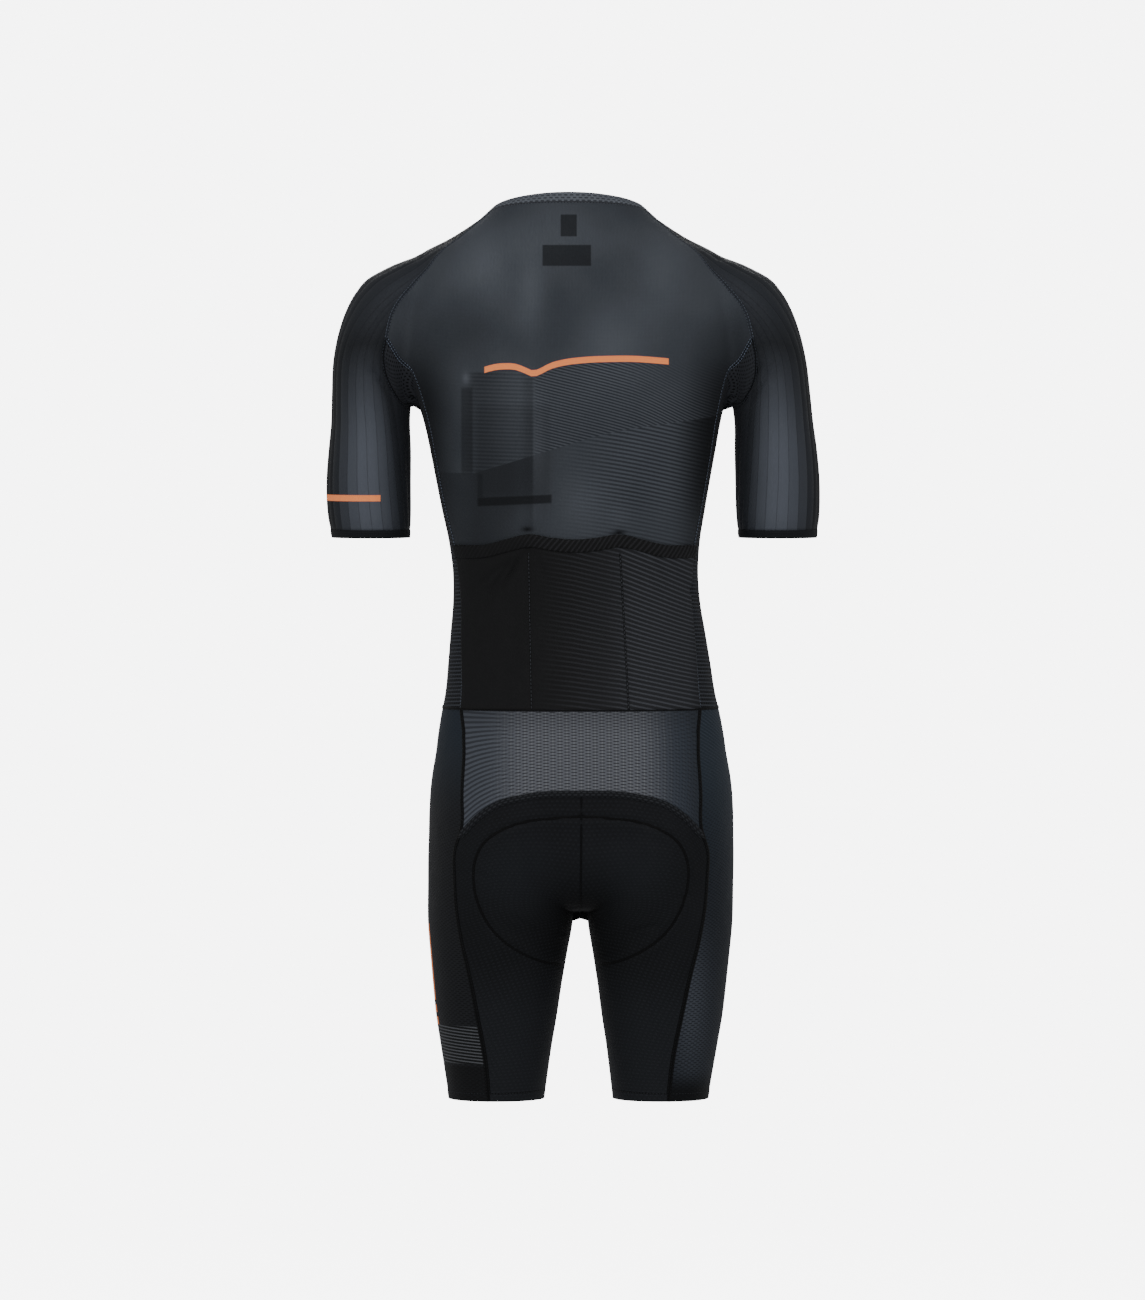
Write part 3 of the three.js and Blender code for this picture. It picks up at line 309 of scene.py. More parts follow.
mouthLine = smoothTable([  # distance from the middle: height of the pocket mouth
    [-24, -289.5], [0, -291.5], [24, -289.5], [47, -286], [70, -291], [92, -297], [126, -298.5],
])
archLine = smoothTable([[-60, -559], [0, -555.4], [60, -559], [94, -569], [112, -582], [126, -597]])
waist, hem, cuff, cuffWidth, crotchLevel = -471.0, -886.0, -292.0, 8.5, -722.0

thin = 1


def count(n):
    return max(4, n // thin)


# A place on the neck seam at an angle from the wearer's left, in degrees.
def neckPlace(angle):
    return trunkRing[0](np.radians(angle), neckLine(np.asarray(angle, float))[0])


raglanBackEnd, raglanFrontEnd = neckPlace(8.0), neckPlace(-15.0)
sideBack = onSeam(sideBackLine, np.linspace(waist, -80, count(136) + 1))
sideFront = onSeam(sideFrontLine, np.linspace(waist, -88, count(136) + 1))


def raglan(line, tip, end, steps):
    heights = np.linspace(tip[2], end[2], steps + 1)[1:-1]
    return np.concatenate([[tip], onSeam(line, heights), [end]])


raglanSteps = 7 * count(8)
raglanBack = raglan(raglanBackLine, sideBack[-1], raglanBackEnd, raglanSteps)
raglanFront = raglan(raglanFrontLine, sideFront[-1], raglanFrontEnd, raglanSteps)
armpit = crossing(np.array([168.0, 2.0, -100.0]), np.array([0.0, 0.0, -1.0]))


# From a tip of the side panel round to the armpit: x, y and height as smooth curves of the share of the way.
def armhole(tip, rows, steps):
    line = smoothTable([[0, *tip], *rows, [1, *armpit]])
    x, y, z = line(np.linspace(0, 1, steps + 1)[1:-1])
    return np.concatenate([[tip], settle(xyz(x, y, z)), [armpit]])


armholeSteps = 4 * count(8)
armholeBack = armhole(
    sideBack[-1], [[0.25, 196, 57, -104], [0.5, 190, 50, -129], [0.75, 179, 33, -149]], armholeSteps)
armholeFront = armhole(
    sideFront[-1], [[0.25, 187, -47, -108], [0.5, 184, -42, -129], [0.75, 176, -26, -148]], armholeSteps)


# sin(1.25 s) / sin(1.25): even in the middle and closer where a face turns away.
def bunched(share):
    return np.sin(share * 1.25) / math.sin(1.25)


# A row over the back from one side seam to the other, at a height that follows the place across.
def across(end, heightAt, columns):
    x = end[0] * bunched(np.linspace(-1, 1, columns + 1))
    row = backFace[0](x, heightAt(np.abs(x)))
    row[0], row[-1] = mirror(end), end
    return row


backColumns = 2 * count(78)
frontColumns = count(64)
waistBackEnd, waistFrontEnd = sideBack[0], sideFront[0]
waistBack = across(waistBackEnd, lambda x: np.full_like(x, waist), backColumns)
frontX = suit["zipOpening"] + (
    waistFrontEnd[0] - suit["zipOpening"]) * bunched(np.linspace(0, 1, frontColumns + 1))
waistFront = frontFace[0](frontX, np.full_like(frontX, waist))
waistFront[-1] = waistFrontEnd
sideAngles = np.linspace(trunkRing[1](waistBackEnd)[0], trunkRing[1](waistFrontEnd)[0], 2 * armholeSteps + 1)
waistSide = trunkRing[0](sideAngles, np.full_like(sideAngles, waist))
waistSide[0], waistSide[-1] = waistBackEnd, waistFrontEnd
neckHalf = neckPlace(np.linspace(90, 8, backColumns // 2 + 1))
neckBack = np.concatenate([mirror(neckHalf[1:])[::-1], neckHalf])
neckEdge = neckPlace(np.linspace(-15, 8, 3 * count(8) + 1))
neckDepth = torso(np.array(neckLine(np.array(-90.0))[0]))[2]
neckFront = neckPlace(np.linspace(
    -90 + math.degrees(math.atan(suit["zipOpening"] / neckDepth)), -15, frontColumns + 1))
print("seams laid out")

sideSeam = np.concatenate([sideBack, raglanBack[1:]])
backGrid = patch(backFace, waistBack, neckBack, mirror(sideSeam), sideSeam)
frontSeam = np.concatenate([sideFront, raglanFront[1:]])
zipShare = (frontSeam[:, 2] - waist) / (frontSeam[-1, 2] - waist)
zipHeights = waist + (neckFront[0, 2] - waist) * zipShare
zipEdge = frontFace[0](np.full_like(zipHeights, suit["zipOpening"]), zipHeights)
zipEdge[0], zipEdge[-1] = waistFront[0], neckFront[0]
frontGrid = patch(frontFace, waistFront, neckFront, zipEdge, frontSeam)

pocketRows = count(66)
pocketSeam = onSeam(sideBackLine, np.linspace(waist, -298.5, pocketRows + 1))
mouthRow = across(pocketSeam[-1], lambda x: mouthLine(x)[0], backColumns)
pocketGrid = patch(backFace, waistBack, mouthRow, mirror(pocketSeam), pocketSeam)
bindingSeam = onSeam(sideBackLine, np.linspace(-312, -298.5, 9))
bindingRow = across(bindingSeam[0], lambda x: mouthLine(x)[0] - 13.5, backColumns)
bindingGrid = patch(backFace, bindingRow, mouthRow, mirror(bindingSeam), bindingSeam)

armholeRow = np.concatenate([armholeBack, armholeFront[:-1][::-1]])
shareUp = np.linspace(0, 1, len(sideBack))[:, None, None]
shareOver = np.linspace(0, 1, len(armholeRow))[None, :, None]


# How far a row of places departs from the straight line between its ends.
def offChord(row):
    t = np.linspace(0, 1, len(row))[:, None]
    return row - (row[0] * (1 - t) + row[-1] * t)


sideGrid = sideBack[:, None] * (1 - shareOver) + sideFront[:, None] * shareOver
sideGrid = sideGrid + offChord(waistSide)[None] * (1 - shareUp) + offChord(armholeRow)[None] * shareUp**3
sideGrid = settle(sideGrid)
sideGrid[0], sideGrid[-1], sideGrid[:, 0], sideGrid[:, -1] = waistSide, armholeRow, sideBack, sideFront

# Sleeve: rings from the cuff up to one closed line of armhole, raglan seams and neck edge
sleeveTop = np.concatenate([
    armholeBack[1:][::-1], raglanBack[:-1], neckEdge[1:][::-1], raglanFront[1:][::-1], armholeFront])
ringShare = np.linspace(0, 1, len(sleeveTop))
late = np.arange(len(sleeveTop)) > len(sleeveTop) / 2
topNumbers = np.where(
    late[:, None], sleeveRing[1](sleeveTop, math.radians(135)), sleeveRing[1](sleeveTop, math.radians(225)))
topNumbers[0, 0], topNumbers[-1, 0] = math.pi, -math.pi
cuffAngles = math.pi - 2 * math.pi * ringShare
rise = np.linspace(0, 1, count(84) + 1)[:, None]
sleeveGrid = sleeveRing[0](
    cuffAngles * (1 - rise) + topNumbers[:, 0] * rise,
    (cuff + cuffWidth) * (1 - rise) + topNumbers[:, 1] * rise,
)
sleeveGrid[-1] = sleeveTop
cuffGrid = sleeveRing[0](cuffAngles[None], np.linspace(cuff, cuff + cuffWidth, 5)[:, None])

# Neck band: from zip edge round the back to zip edge, then up
neckSide = np.concatenate([neckFront, neckEdge[1:]])
neckSeam = np.concatenate([neckSide, neckBack[:-1][::-1], mirror(neckSide[:-1])[::-1]])
neckAngles = trunkRing[1](neckSeam)[:, 0]
fromLeft = np.degrees(neckAngles)
fromSide = np.where(np.abs(fromLeft) > 90, np.sign(fromLeft) * 180 - fromLeft, fromLeft)
neckSeamHeight, neckEdgeHeight = neckLine(fromSide)
neckRise = np.linspace(0, 1, 9)[:, None]
neckGrid = trunkRing[0](neckAngles[None], neckSeamHeight * (1 - neckRise) + neckEdgeHeight * neckRise)
neckGrid[0] = neckSeam
print("upper panels worked out")

# Lower half: the middle line runs over the seat, through the crotch and up the front
hipCentre = np.array([0.0, 0.0, archLine(np.array(0.0))[0]])


# On the middle line, from a point inside the hips: 0 is level behind, 90 straight down, 180 level in front.
def middlePlace(angle):
    angle = np.radians(angle)
    return crossing(hipCentre, xyz(0, np.cos(angle), -np.sin(angle)))


crotch = middlePlace(90.0)
legRows, seatRows, yokeRows = count(78), count(66), count(40)
innerHeights = np.linspace(crotch[2], hem, legRows + 1)[1:]
innerLeg = legRing[0](np.full(legRows, math.pi), innerHeights)
centreBack = np.concatenate([middlePlace(np.linspace(0, 90, seatRows + 1)), innerLeg])
centreFrontTop = frontFace[0](np.zeros(yokeRows), np.linspace(waist, hipCentre[2], yokeRows + 1)[:-1])
centreFront = np.concatenate([centreFrontTop, middlePlace(np.linspace(180, 90, seatRows + 1)), innerLeg])
outerHeights = along((waist, -597, yokeRows), (-597, crotchLevel, seatRows), (crotchLevel, hem, legRows))
outerBack = onSeam(outerBackLine, outerHeights)
outerFrontHeights = along(
    (waist, hipCentre[2], yokeRows), (hipCentre[2], crotchLevel, seatRows), (crotchLevel, hem, legRows))
outerFront = onSeam(outerFrontLine, outerFrontHeights)
outerBack[0], outerFront[0] = waistBackEnd, waistFrontEnd
archEnd = outerBack[yokeRows]
arch = across(archEnd, lambda x: archLine(x)[0], backColumns)
yokeSide = outerBack[: yokeRows + 1]
yokeGrid = patch(backFace, waistBack, arch, mirror(yokeSide), yokeSide)


def hemRow(innerAngle, outer, columns, cut):
    angles = np.linspace(innerAngle, legRing[1](outer, cut)[0], columns + 1)
    row = legRing[0](angles, np.full_like(angles, hem))
    row[0], row[-1] = innerLeg[-1], outer
    return row


seatColumns = backColumns // 2
backCut, frontCut = math.radians(225), math.radians(135)
archHalf = arch[seatColumns:]
hemBack = hemRow(math.pi, outerBack[-1], seatColumns, backCut)
seatGrid = patch(legRing, archHalf, hemBack, centreBack, outerBack[yokeRows:], backCut)
tapeRise = np.linspace(0, 1, 6)[:, None]
archX = arch[:, 0]
archTilt = (archLine(np.abs(archX) + 1)[0] - archLine(np.abs(archX) - 1)[0]) / 2
tapeGrid = backFace[0](
    np.broadcast_to(archX, (6, len(archX))), arch[:, 2] - 6.4 * tapeRise * np.hypot(1, archTilt))
tapeGrid[:, 0] = mirror(onSeam(outerBackLine, -597 - 9 * tapeRise[:, 0]))
tapeGrid[:, -1] = onSeam(outerBackLine, -597 - 9 * tapeRise[:, 0])
hemFront = hemRow(-math.pi, outerFront[-1], frontColumns, frontCut)
frontLegX = waistFrontEnd[0] * bunched(np.linspace(0, 1, frontColumns + 1))
frontLegStart = frontFace[0](frontLegX, np.full_like(frontLegX, waist))
frontLegStart[-1] = waistFrontEnd
frontLegGrid = patch(legRing, frontLegStart, hemFront, centreFront, outerFront, frontCut)
outerAngles = np.linspace(legRing[1](outerBack[-1])[0], legRing[1](outerFront[-1])[0], 2 * armholeSteps + 1)
hemOuter = legRing[0](outerAngles, np.full_like(outerAngles, hem))
hemOuter[0], hemOuter[-1] = outerBack[-1], outerFront[-1]
outerLegGrid = patch(legRing, waistSide, hemOuter, outerBack, outerFront)
print("lower panels worked out")


# Shape on the cloth, all as distances along the outward direction
foldRows = [  # side (1 back, -1 front), from x, z, to x, z, width, depth
    (1, 40, -128, 44, -262, 9, 1.8), (1, 214, -112, 188, -140, 9, 2.4), (1, 198, -92, 178, -128, 8, 1.6),
    (1, -204, -106, -184, -140, 9, 2.6), (1, -218, -116, -196, -146, 8, 1.8),
    (1, 96, -352, 66, -318, 8, 1.5), (1, -122, -356, -90, -322, 8, 1.6), (1, 78, -700, 20, -722, 9, 2.2),
    (1, -74, -704, -22, -722, 9, 2.0), (-1, 206, -104, 180, -138, 9, 2.2),
    (-1, -200, -108, -178, -136, 9, 2.5), (-1, 104, -622, 40, -672, 10, 2.6),
    (-1, -100, -616, -44, -676, 10, 2.4), (-1, 96, -398, 34, -420, 11, 1.6),
    (-1, -88, -410, -30, -424, 11, 1.8), (1, 208, -115, 194, -131, 2.6, 1.5),
    (1, 198, -108, 190, -127, 2.2, 1.2), (1, 191, -103, 187, -122, 2.4, 1.0),
    (1, 203, -122, 192, -139, 2.4, 0.9), (1, -200, -109, -183, -140, 2.8, 1.7),
    (1, -213, -108, -197, -136, 2.4, 1.3), (1, -194, -139, -180, -149, 2.6, 1.2),
    (1, -207, -118, -190, -147, 2.2, 0.9), (1, 66, -313, 92, -350, 2.6, 2.1),
    (1, 57, -308, 80, -348, 2.2, 1.8), (1, 50, -306, 97, -362, 3, 2.2),
    (1, 74, -317, 104, -343, 2.4, 1.5), (1, 40, -308, 28, -338, 2.6, 1.2),
    (1, -84, -315, -98, -337, 2.4, 2.1), (1, -101, -316, -128, -356, 2.8, 2.2),
    (1, -70, -312, -92, -352, 2.6, 1.8), (1, -58, -308, -72, -344, 2.6, 1.2),
    (1, 72, -687, 44, -705, 2.8, 1.3), (1, 46, -705, 6, -708, 2.4, 0.9),
    (1, -80, -697, -55, -704, 2.8, 1.3), (1, -58, -705, -26, -711, 2.4, 1.0),
    (1, 118, -640, 100, -646, 3.0, 0.7), (1, -124, -664, -100, -668, 2.6, 0.9),
    (1, 60, -716, 24, -728, 3.2, 0.8), (1, -64, -718, -28, -730, 3.2, 0.8),
    (-1, 196, -108, 182, -132, 2.6, 1.3), (-1, 188, -100, 176, -126, 2.4, 1.0),
    (-1, -194, -112, -180, -140, 2.6, 1.4), (-1, -186, -102, -174, -128, 2.4, 0.9),
    (-1, 92, -636, 50, -664, 3.0, 1.2), (-1, 70, -612, 30, -640, 3.2, 0.8),
    (-1, -88, -630, -46, -662, 3.0, 1.3), (-1, -66, -606, -28, -642, 3.2, 0.8),
]


# The sum over folds of depth * exp(-(distance to the fold's line / width)^2), on the side where the fold
# lies.
def troughs(p):
    x, y, z = p[..., 0], p[..., 1], p[..., 2]
    total = np.zeros(x.shape)
    for side, x1, z1, x2, z2, width, depth in foldRows:
        dx, dz = x2 - x1, z2 - z1
        t = ((x - x1) * dx + (z - z1) * dz) / (dx * dx + dz * dz)
        t = np.clip(t, 0, 1)
        away = np.hypot(x - x1 - t * dx, z - z1 - t * dz) / width
        facing = np.clip((side * y - 5) / 30, 0, 1)
        total += facing**2 * (3 - 2 * facing) * depth * np.exp(-(away**2)) * (1 - 0.55 * (2 * t - 1) ** 4)
    return total


# The distance from each place to the nearest point of a closely stepped line.
def toLine(p, line):
    flat = p.reshape(-1, 3)
    near = np.full(len(flat), 1e9)
    for point in line:
        near = np.minimum(near, ((flat - point) ** 2).sum(-1))
    return np.sqrt(near).reshape(p.shape[:-1])


def smoothStep(low, high, value):
    t = np.clip((value - low) / (high - low), 0, 1)
    return t * t * (3 - 2 * t)


# The four corners of each cell of a grid of numbers, in order round the cell.
def cellCorners(n):
    return [n[:-1, :-1], n[:-1, 1:], n[1:, 1:], n[1:, :-1]]


# How far along a line each of its places lies: the sum of the straight steps up to it.
def runAlong(line):
    return np.concatenate([[0], np.cumsum(np.linalg.norm(np.diff(line, axis=0), axis=-1))])


# A piece from places, faces, and a pair of map numbers for each corner of each face.
def newPiece(name, points, faces, uv):
    mesh = bpy.data.meshes.new(name)
    mesh.from_pydata(points, [], faces.tolist())
    layer = mesh.uv_layers.new(name="cloth")
    layer.data.foreach_set("uv", uv.astype(np.float32).ravel())
    mesh.shade_smooth()
    piece = bpy.data.objects.new(name, mesh)
    bpy.context.scene.collection.objects.link(piece)
    return piece


# Metres along the cloth: across from the middle column, and up from the lowest row.
def clothMap(grid, middle):
    over = np.linalg.norm(np.diff(grid, axis=1), axis=-1)
    over = np.concatenate([np.zeros((len(grid), 1)), np.cumsum(over, axis=1)], axis=1)
    over -= over[:, [middle]]
    up = np.linalg.norm(np.diff(grid, axis=0), axis=-1)
    up = np.concatenate([np.zeros((1, grid.shape[1])), np.cumsum(up, axis=0)])
    return np.stack([over, np.broadcast_to(up.mean(1)[:, None], over.shape)], -1) / 1000


# The lean added to x, and millimetres made metres.
def placed(points):
    points = points.copy()
    points[..., 0] += lean(points[..., 2])[0]
    return points / 1000


# A grid of places on the figure moved out by lift + relief - troughs, as four-sided faces with the cloth's
# own map.
def clothMesh(name, grid, ring=False, lift=0.0, relief=0.0, middle=0, over=None):
    out = outward(grid)
    level = lift + relief - troughs(grid)
    points = placed(grid + out * level[..., None])
    rows, columns = grid.shape[:2]
    numbers = np.arange(rows * columns).reshape(rows, columns)
    if ring:
        numbers[:, -1] = numbers[:, 0]
    corners = cellCorners(numbers)
    j, i = rows // 2, columns // 2
    face = np.cross(points[j, i + 1] - points[j, i], points[j + 1, i] - points[j, i])
    order = (0, 1, 2, 3) if face @ out[j, i] > 0 else (3, 2, 1, 0)
    faces = np.stack([corners[k] for k in order], -1).reshape(-1, 4)
    uv = clothMap(grid, middle)
    if over is not None:
        uv[..., 0] = over / 1000
    uv = uv.reshape(-1, 2)
    cells = cellCorners(np.arange(rows * columns).reshape(rows, columns))
    uvFaces = np.stack([cells[k] for k in order], -1).reshape(-1)
    used, packed = np.unique(faces, return_inverse=True)
    piece = newPiece(name, points.reshape(-1, 3)[used], packed.reshape(-1, 4), uv[uvFaces])
    piece.data.validate()
    return piece


# A number that varies over a surface: Python's operators on it add Math nodes.
class Term:
    def __init__(self, finish, socket):
        self.finish, self.socket = finish, socket

    def math(self, operation, *values):
        node = self.finish.node("ShaderNodeMath", {"operation": operation}, dict(enumerate(values)))
        return Term(self.finish, node.outputs[0])

    def __add__(self, other):
        return self.math("ADD", self, other)

    def __sub__(self, other):
        return self.math("SUBTRACT", self, other)

    def __rsub__(self, other):
        return self.math("SUBTRACT", other, self)

    def __mul__(self, other):
        return self.math("MULTIPLY", self, other)

    def __truediv__(self, other):
        return self.math("DIVIDE", self, other)

    def __neg__(self):
        return self * -1

    __radd__, __rmul__ = __add__, __mul__

    def magnitude(self):
        return self.math("ABSOLUTE", self)

    def part(self):
        return self.math("FRACT", self)

    def whole(self):
        return self.math("FLOOR", self)

    def atLeast(self, other):
        return self.math("MAXIMUM", self, other)

    # 0.5 + 0.5 sin(2 pi x / pitch)
    def wave(self, pitch):
        return self.math("SINE", self * (2 * math.pi / pitch)) * 0.5 + 0.5

    # before below low, after above high, and a smooth step between them.
    def over(self, low, high, before=0.0, after=1.0, how="SMOOTHSTEP"):
        if low > high:
            low, high, before, after = high, low, after, before
        settings = {"interpolation_type": how}
        inputs = {"Value": self, "From Min": low, "From Max": high, "To Min": before, "To Max": after}
        return Term(self.finish, self.finish.node("ShaderNodeMapRange", settings, inputs).outputs[0])

    # exp(-((x - middle) / width)^2): a soft spot.
    def near(self, middle, width):
        away = (self - middle) / width
        return self.math("EXPONENT", -(away * away))

    # 1 between low and high, with soft edges.
    def band(self, low, high, soft=0.4):
        return self.over(low - soft, low + soft) * self.over(high + soft, high - soft)

    # Straight pieces through (x, value) points, ends level: the first value plus each piece's own rise.
    def follow(self, points):
        total = None
        for (x1, y1), (x2, y2) in zip(points, points[1:]):
            rise = self.over(x1, x2, 0.0, y2 - y1, "LINEAR")
            total = rise + points[0][1] if total is None else total + rise
        return total


# A screen colour from 0 to 255 as the light it stands for: ((c + 0.055) / 1.055)^2.4, or c / 12.92 when dark.
def paint(r, g, b):
    parts = [c / 255 for c in (r, g, b)]
    return (*[c / 12.92 if c <= 0.04045 else ((c + 0.055) / 1.055) ** 2.4 for c in parts], 1.0)


# A piece's material: even values stand on the shader's own sockets, and what varies is added as nodes.
class Finish:
    def __init__(self, name, **even):
        self.material = bpy.data.materials.new(name)
        self.material.use_nodes = True
        self.tree = self.material.node_tree
        self.shader = self.tree.nodes["Principled BSDF"]
        for socket, value in even.items():
            self.shader.inputs[socket.replace("_", " ")].default_value = value

    def node(self, kind, settings=None, inputs=None):
        node = self.tree.nodes.new(kind)
        for name, value in (settings or {}).items():
            setattr(node, name, value)
        for name, value in (inputs or {}).items():
            socket = value.socket if isinstance(value, Term) else value
            if isinstance(socket, bpy.types.NodeSocket):
                self.tree.links.new(socket, node.inputs[name])
            else:
                node.inputs[name].default_value = socket
        return node

    def split(self, vector, scale):
        parts = self.node("ShaderNodeSeparateXYZ", inputs={0: vector})
        return [Term(self, output) * scale for output in parts.outputs]

    # x, y and z in millimetres.
    def place(self):
        return self.split(self.node("ShaderNodeTexCoord").outputs["Object"], 1000)

    # Across and up along the cloth, in millimetres.
    def cloth(self):
        return self.split(self.node("ShaderNodeUVMap", {"uv_map": "cloth"}).outputs[0], 1000)[:2]

    def noise(self, scale, detail=2.0):
        where = self.node("ShaderNodeTexCoord").outputs["Object"]
        node = self.node("ShaderNodeTexNoise", inputs={"Vector": where, "Scale": scale, "Detail": detail})
        return Term(self, node.outputs[0])

    # Colour a where the factor is 0 and colour b where it is 1.
    def mix(self, factor, a, b):
        node = self.node("ShaderNodeMix", {"data_type": "RGBA"}, {0: factor, 6: a, 7: b})
        return node.outputs[2]

    def dressed(self, color, roughness=None, height=None, depth=0.3):
        self.tree.links.new(color, self.shader.inputs["Base Color"])
        if roughness is not None:
            self.tree.links.new(roughness.socket, self.shader.inputs["Roughness"])
        if height is not None:
            inputs = {"Height": height, "Distance": depth / 1000, "Strength": 1.0}
            bump = self.node("ShaderNodeBump", inputs=inputs)
            self.tree.links.new(bump.outputs[0], self.shader.inputs["Normal"])
        return self.material


# Fine thread crossings: the product of two waves.
def weave(u, v, pitch):
    return u.wave(pitch) * v.wave(pitch)


# Short dashes in rows, each row shifted half a dash: 1 on a dash, 0 between.
def bricks(u, v, length, height, fill, thick):
    row = v / height
    shift = (row.whole() * 0.5).part()
    over = ((u / length + shift).part() - 0.5).magnitude()
    up = (row.part() - 0.5).magnitude()
    return over.over(fill / 2 + 0.06, fill / 2 - 0.06) * up.over(thick / 2 + 0.1, thick / 2 - 0.1)


clothEven = {"Sheen_Weight": 0.04, "Sheen_Roughness": 0.4, "Specular_IOR_Level": 0.12}

# Upper cloth with its printed line fields. It is opaque: the shade of what lies behind it and the soft
# patches of light are painted. Lines are (x, height) points, in millimetres.
sheer = {
    "stripe": [
        (-101, -104.4), (-84, -102.9), (-67, -101.7), (-40, -101.6), (-12, -102.8), (10, -105.6),
        (24, -109.5), (33, -114.2), (41, -117), (49.5, -113.8), (58, -110.4), (72, -109.4), (83, -110.6),
        (93, -113.4),
    ],
    "stripeWidth": 6.4, "stripeColor": (255, 150, 88), "stripeEnds": (-101, 92.5),
    "stripeGlow": (255, 132, 84), "glowStrength": 0.26,
    "fieldEdge": [(-149, -163), (-61, -175), (-24, -183), (2, -191), (38, -202), (70, -212), (104, -222)],
    "fieldPitch": 3.2, "leftPitch": 4.1, "lowPitch": 4.3, "ground": (62, 66, 72), "cloud": (76, 80, 86),
    "light": (104, 109, 117), "shade": (48, 51, 56), "line": (98, 102, 110), "gap": (42, 45, 50),
    "deep": (38, 40, 44), "behind": (20, 21, 23),
    "glows": [  # painted light patches: x, height, spread across and up (see near), strength
        (44, -30, 15, 44, 0.4), (-40, -92, 32, 50, 0.45), (4, 24, 60, 22, 0.16), (92, 0, 30, 44, 0.45),
        (-96, -20, 26, 60, 0.22), (-8, -262, 30, 34, 0.3), (48, -266, 11, 12, 0.5), (-49, -270, 12, 12, 0.4),
    ],
}


# The orange print: its own colour on the cloth, plus a little light given off. The light only makes up for
# the brightness that the studio's tone takes from it, and the real ink isn't known to glow. A glowStrength
# of 0 ends it.
def inkedWithGlow(f, base, where):
    glow = f.mix(where, (0.0, 0.0, 0.0, 1.0), paint(*sheer["stripeGlow"]))
    f.tree.links.new(glow, f.shader.inputs["Emission Color"])
    f.shader.inputs["Emission Strength"].default_value = sheer["glowStrength"]
    return f.mix(where, base, paint(*sheer["stripeColor"]))


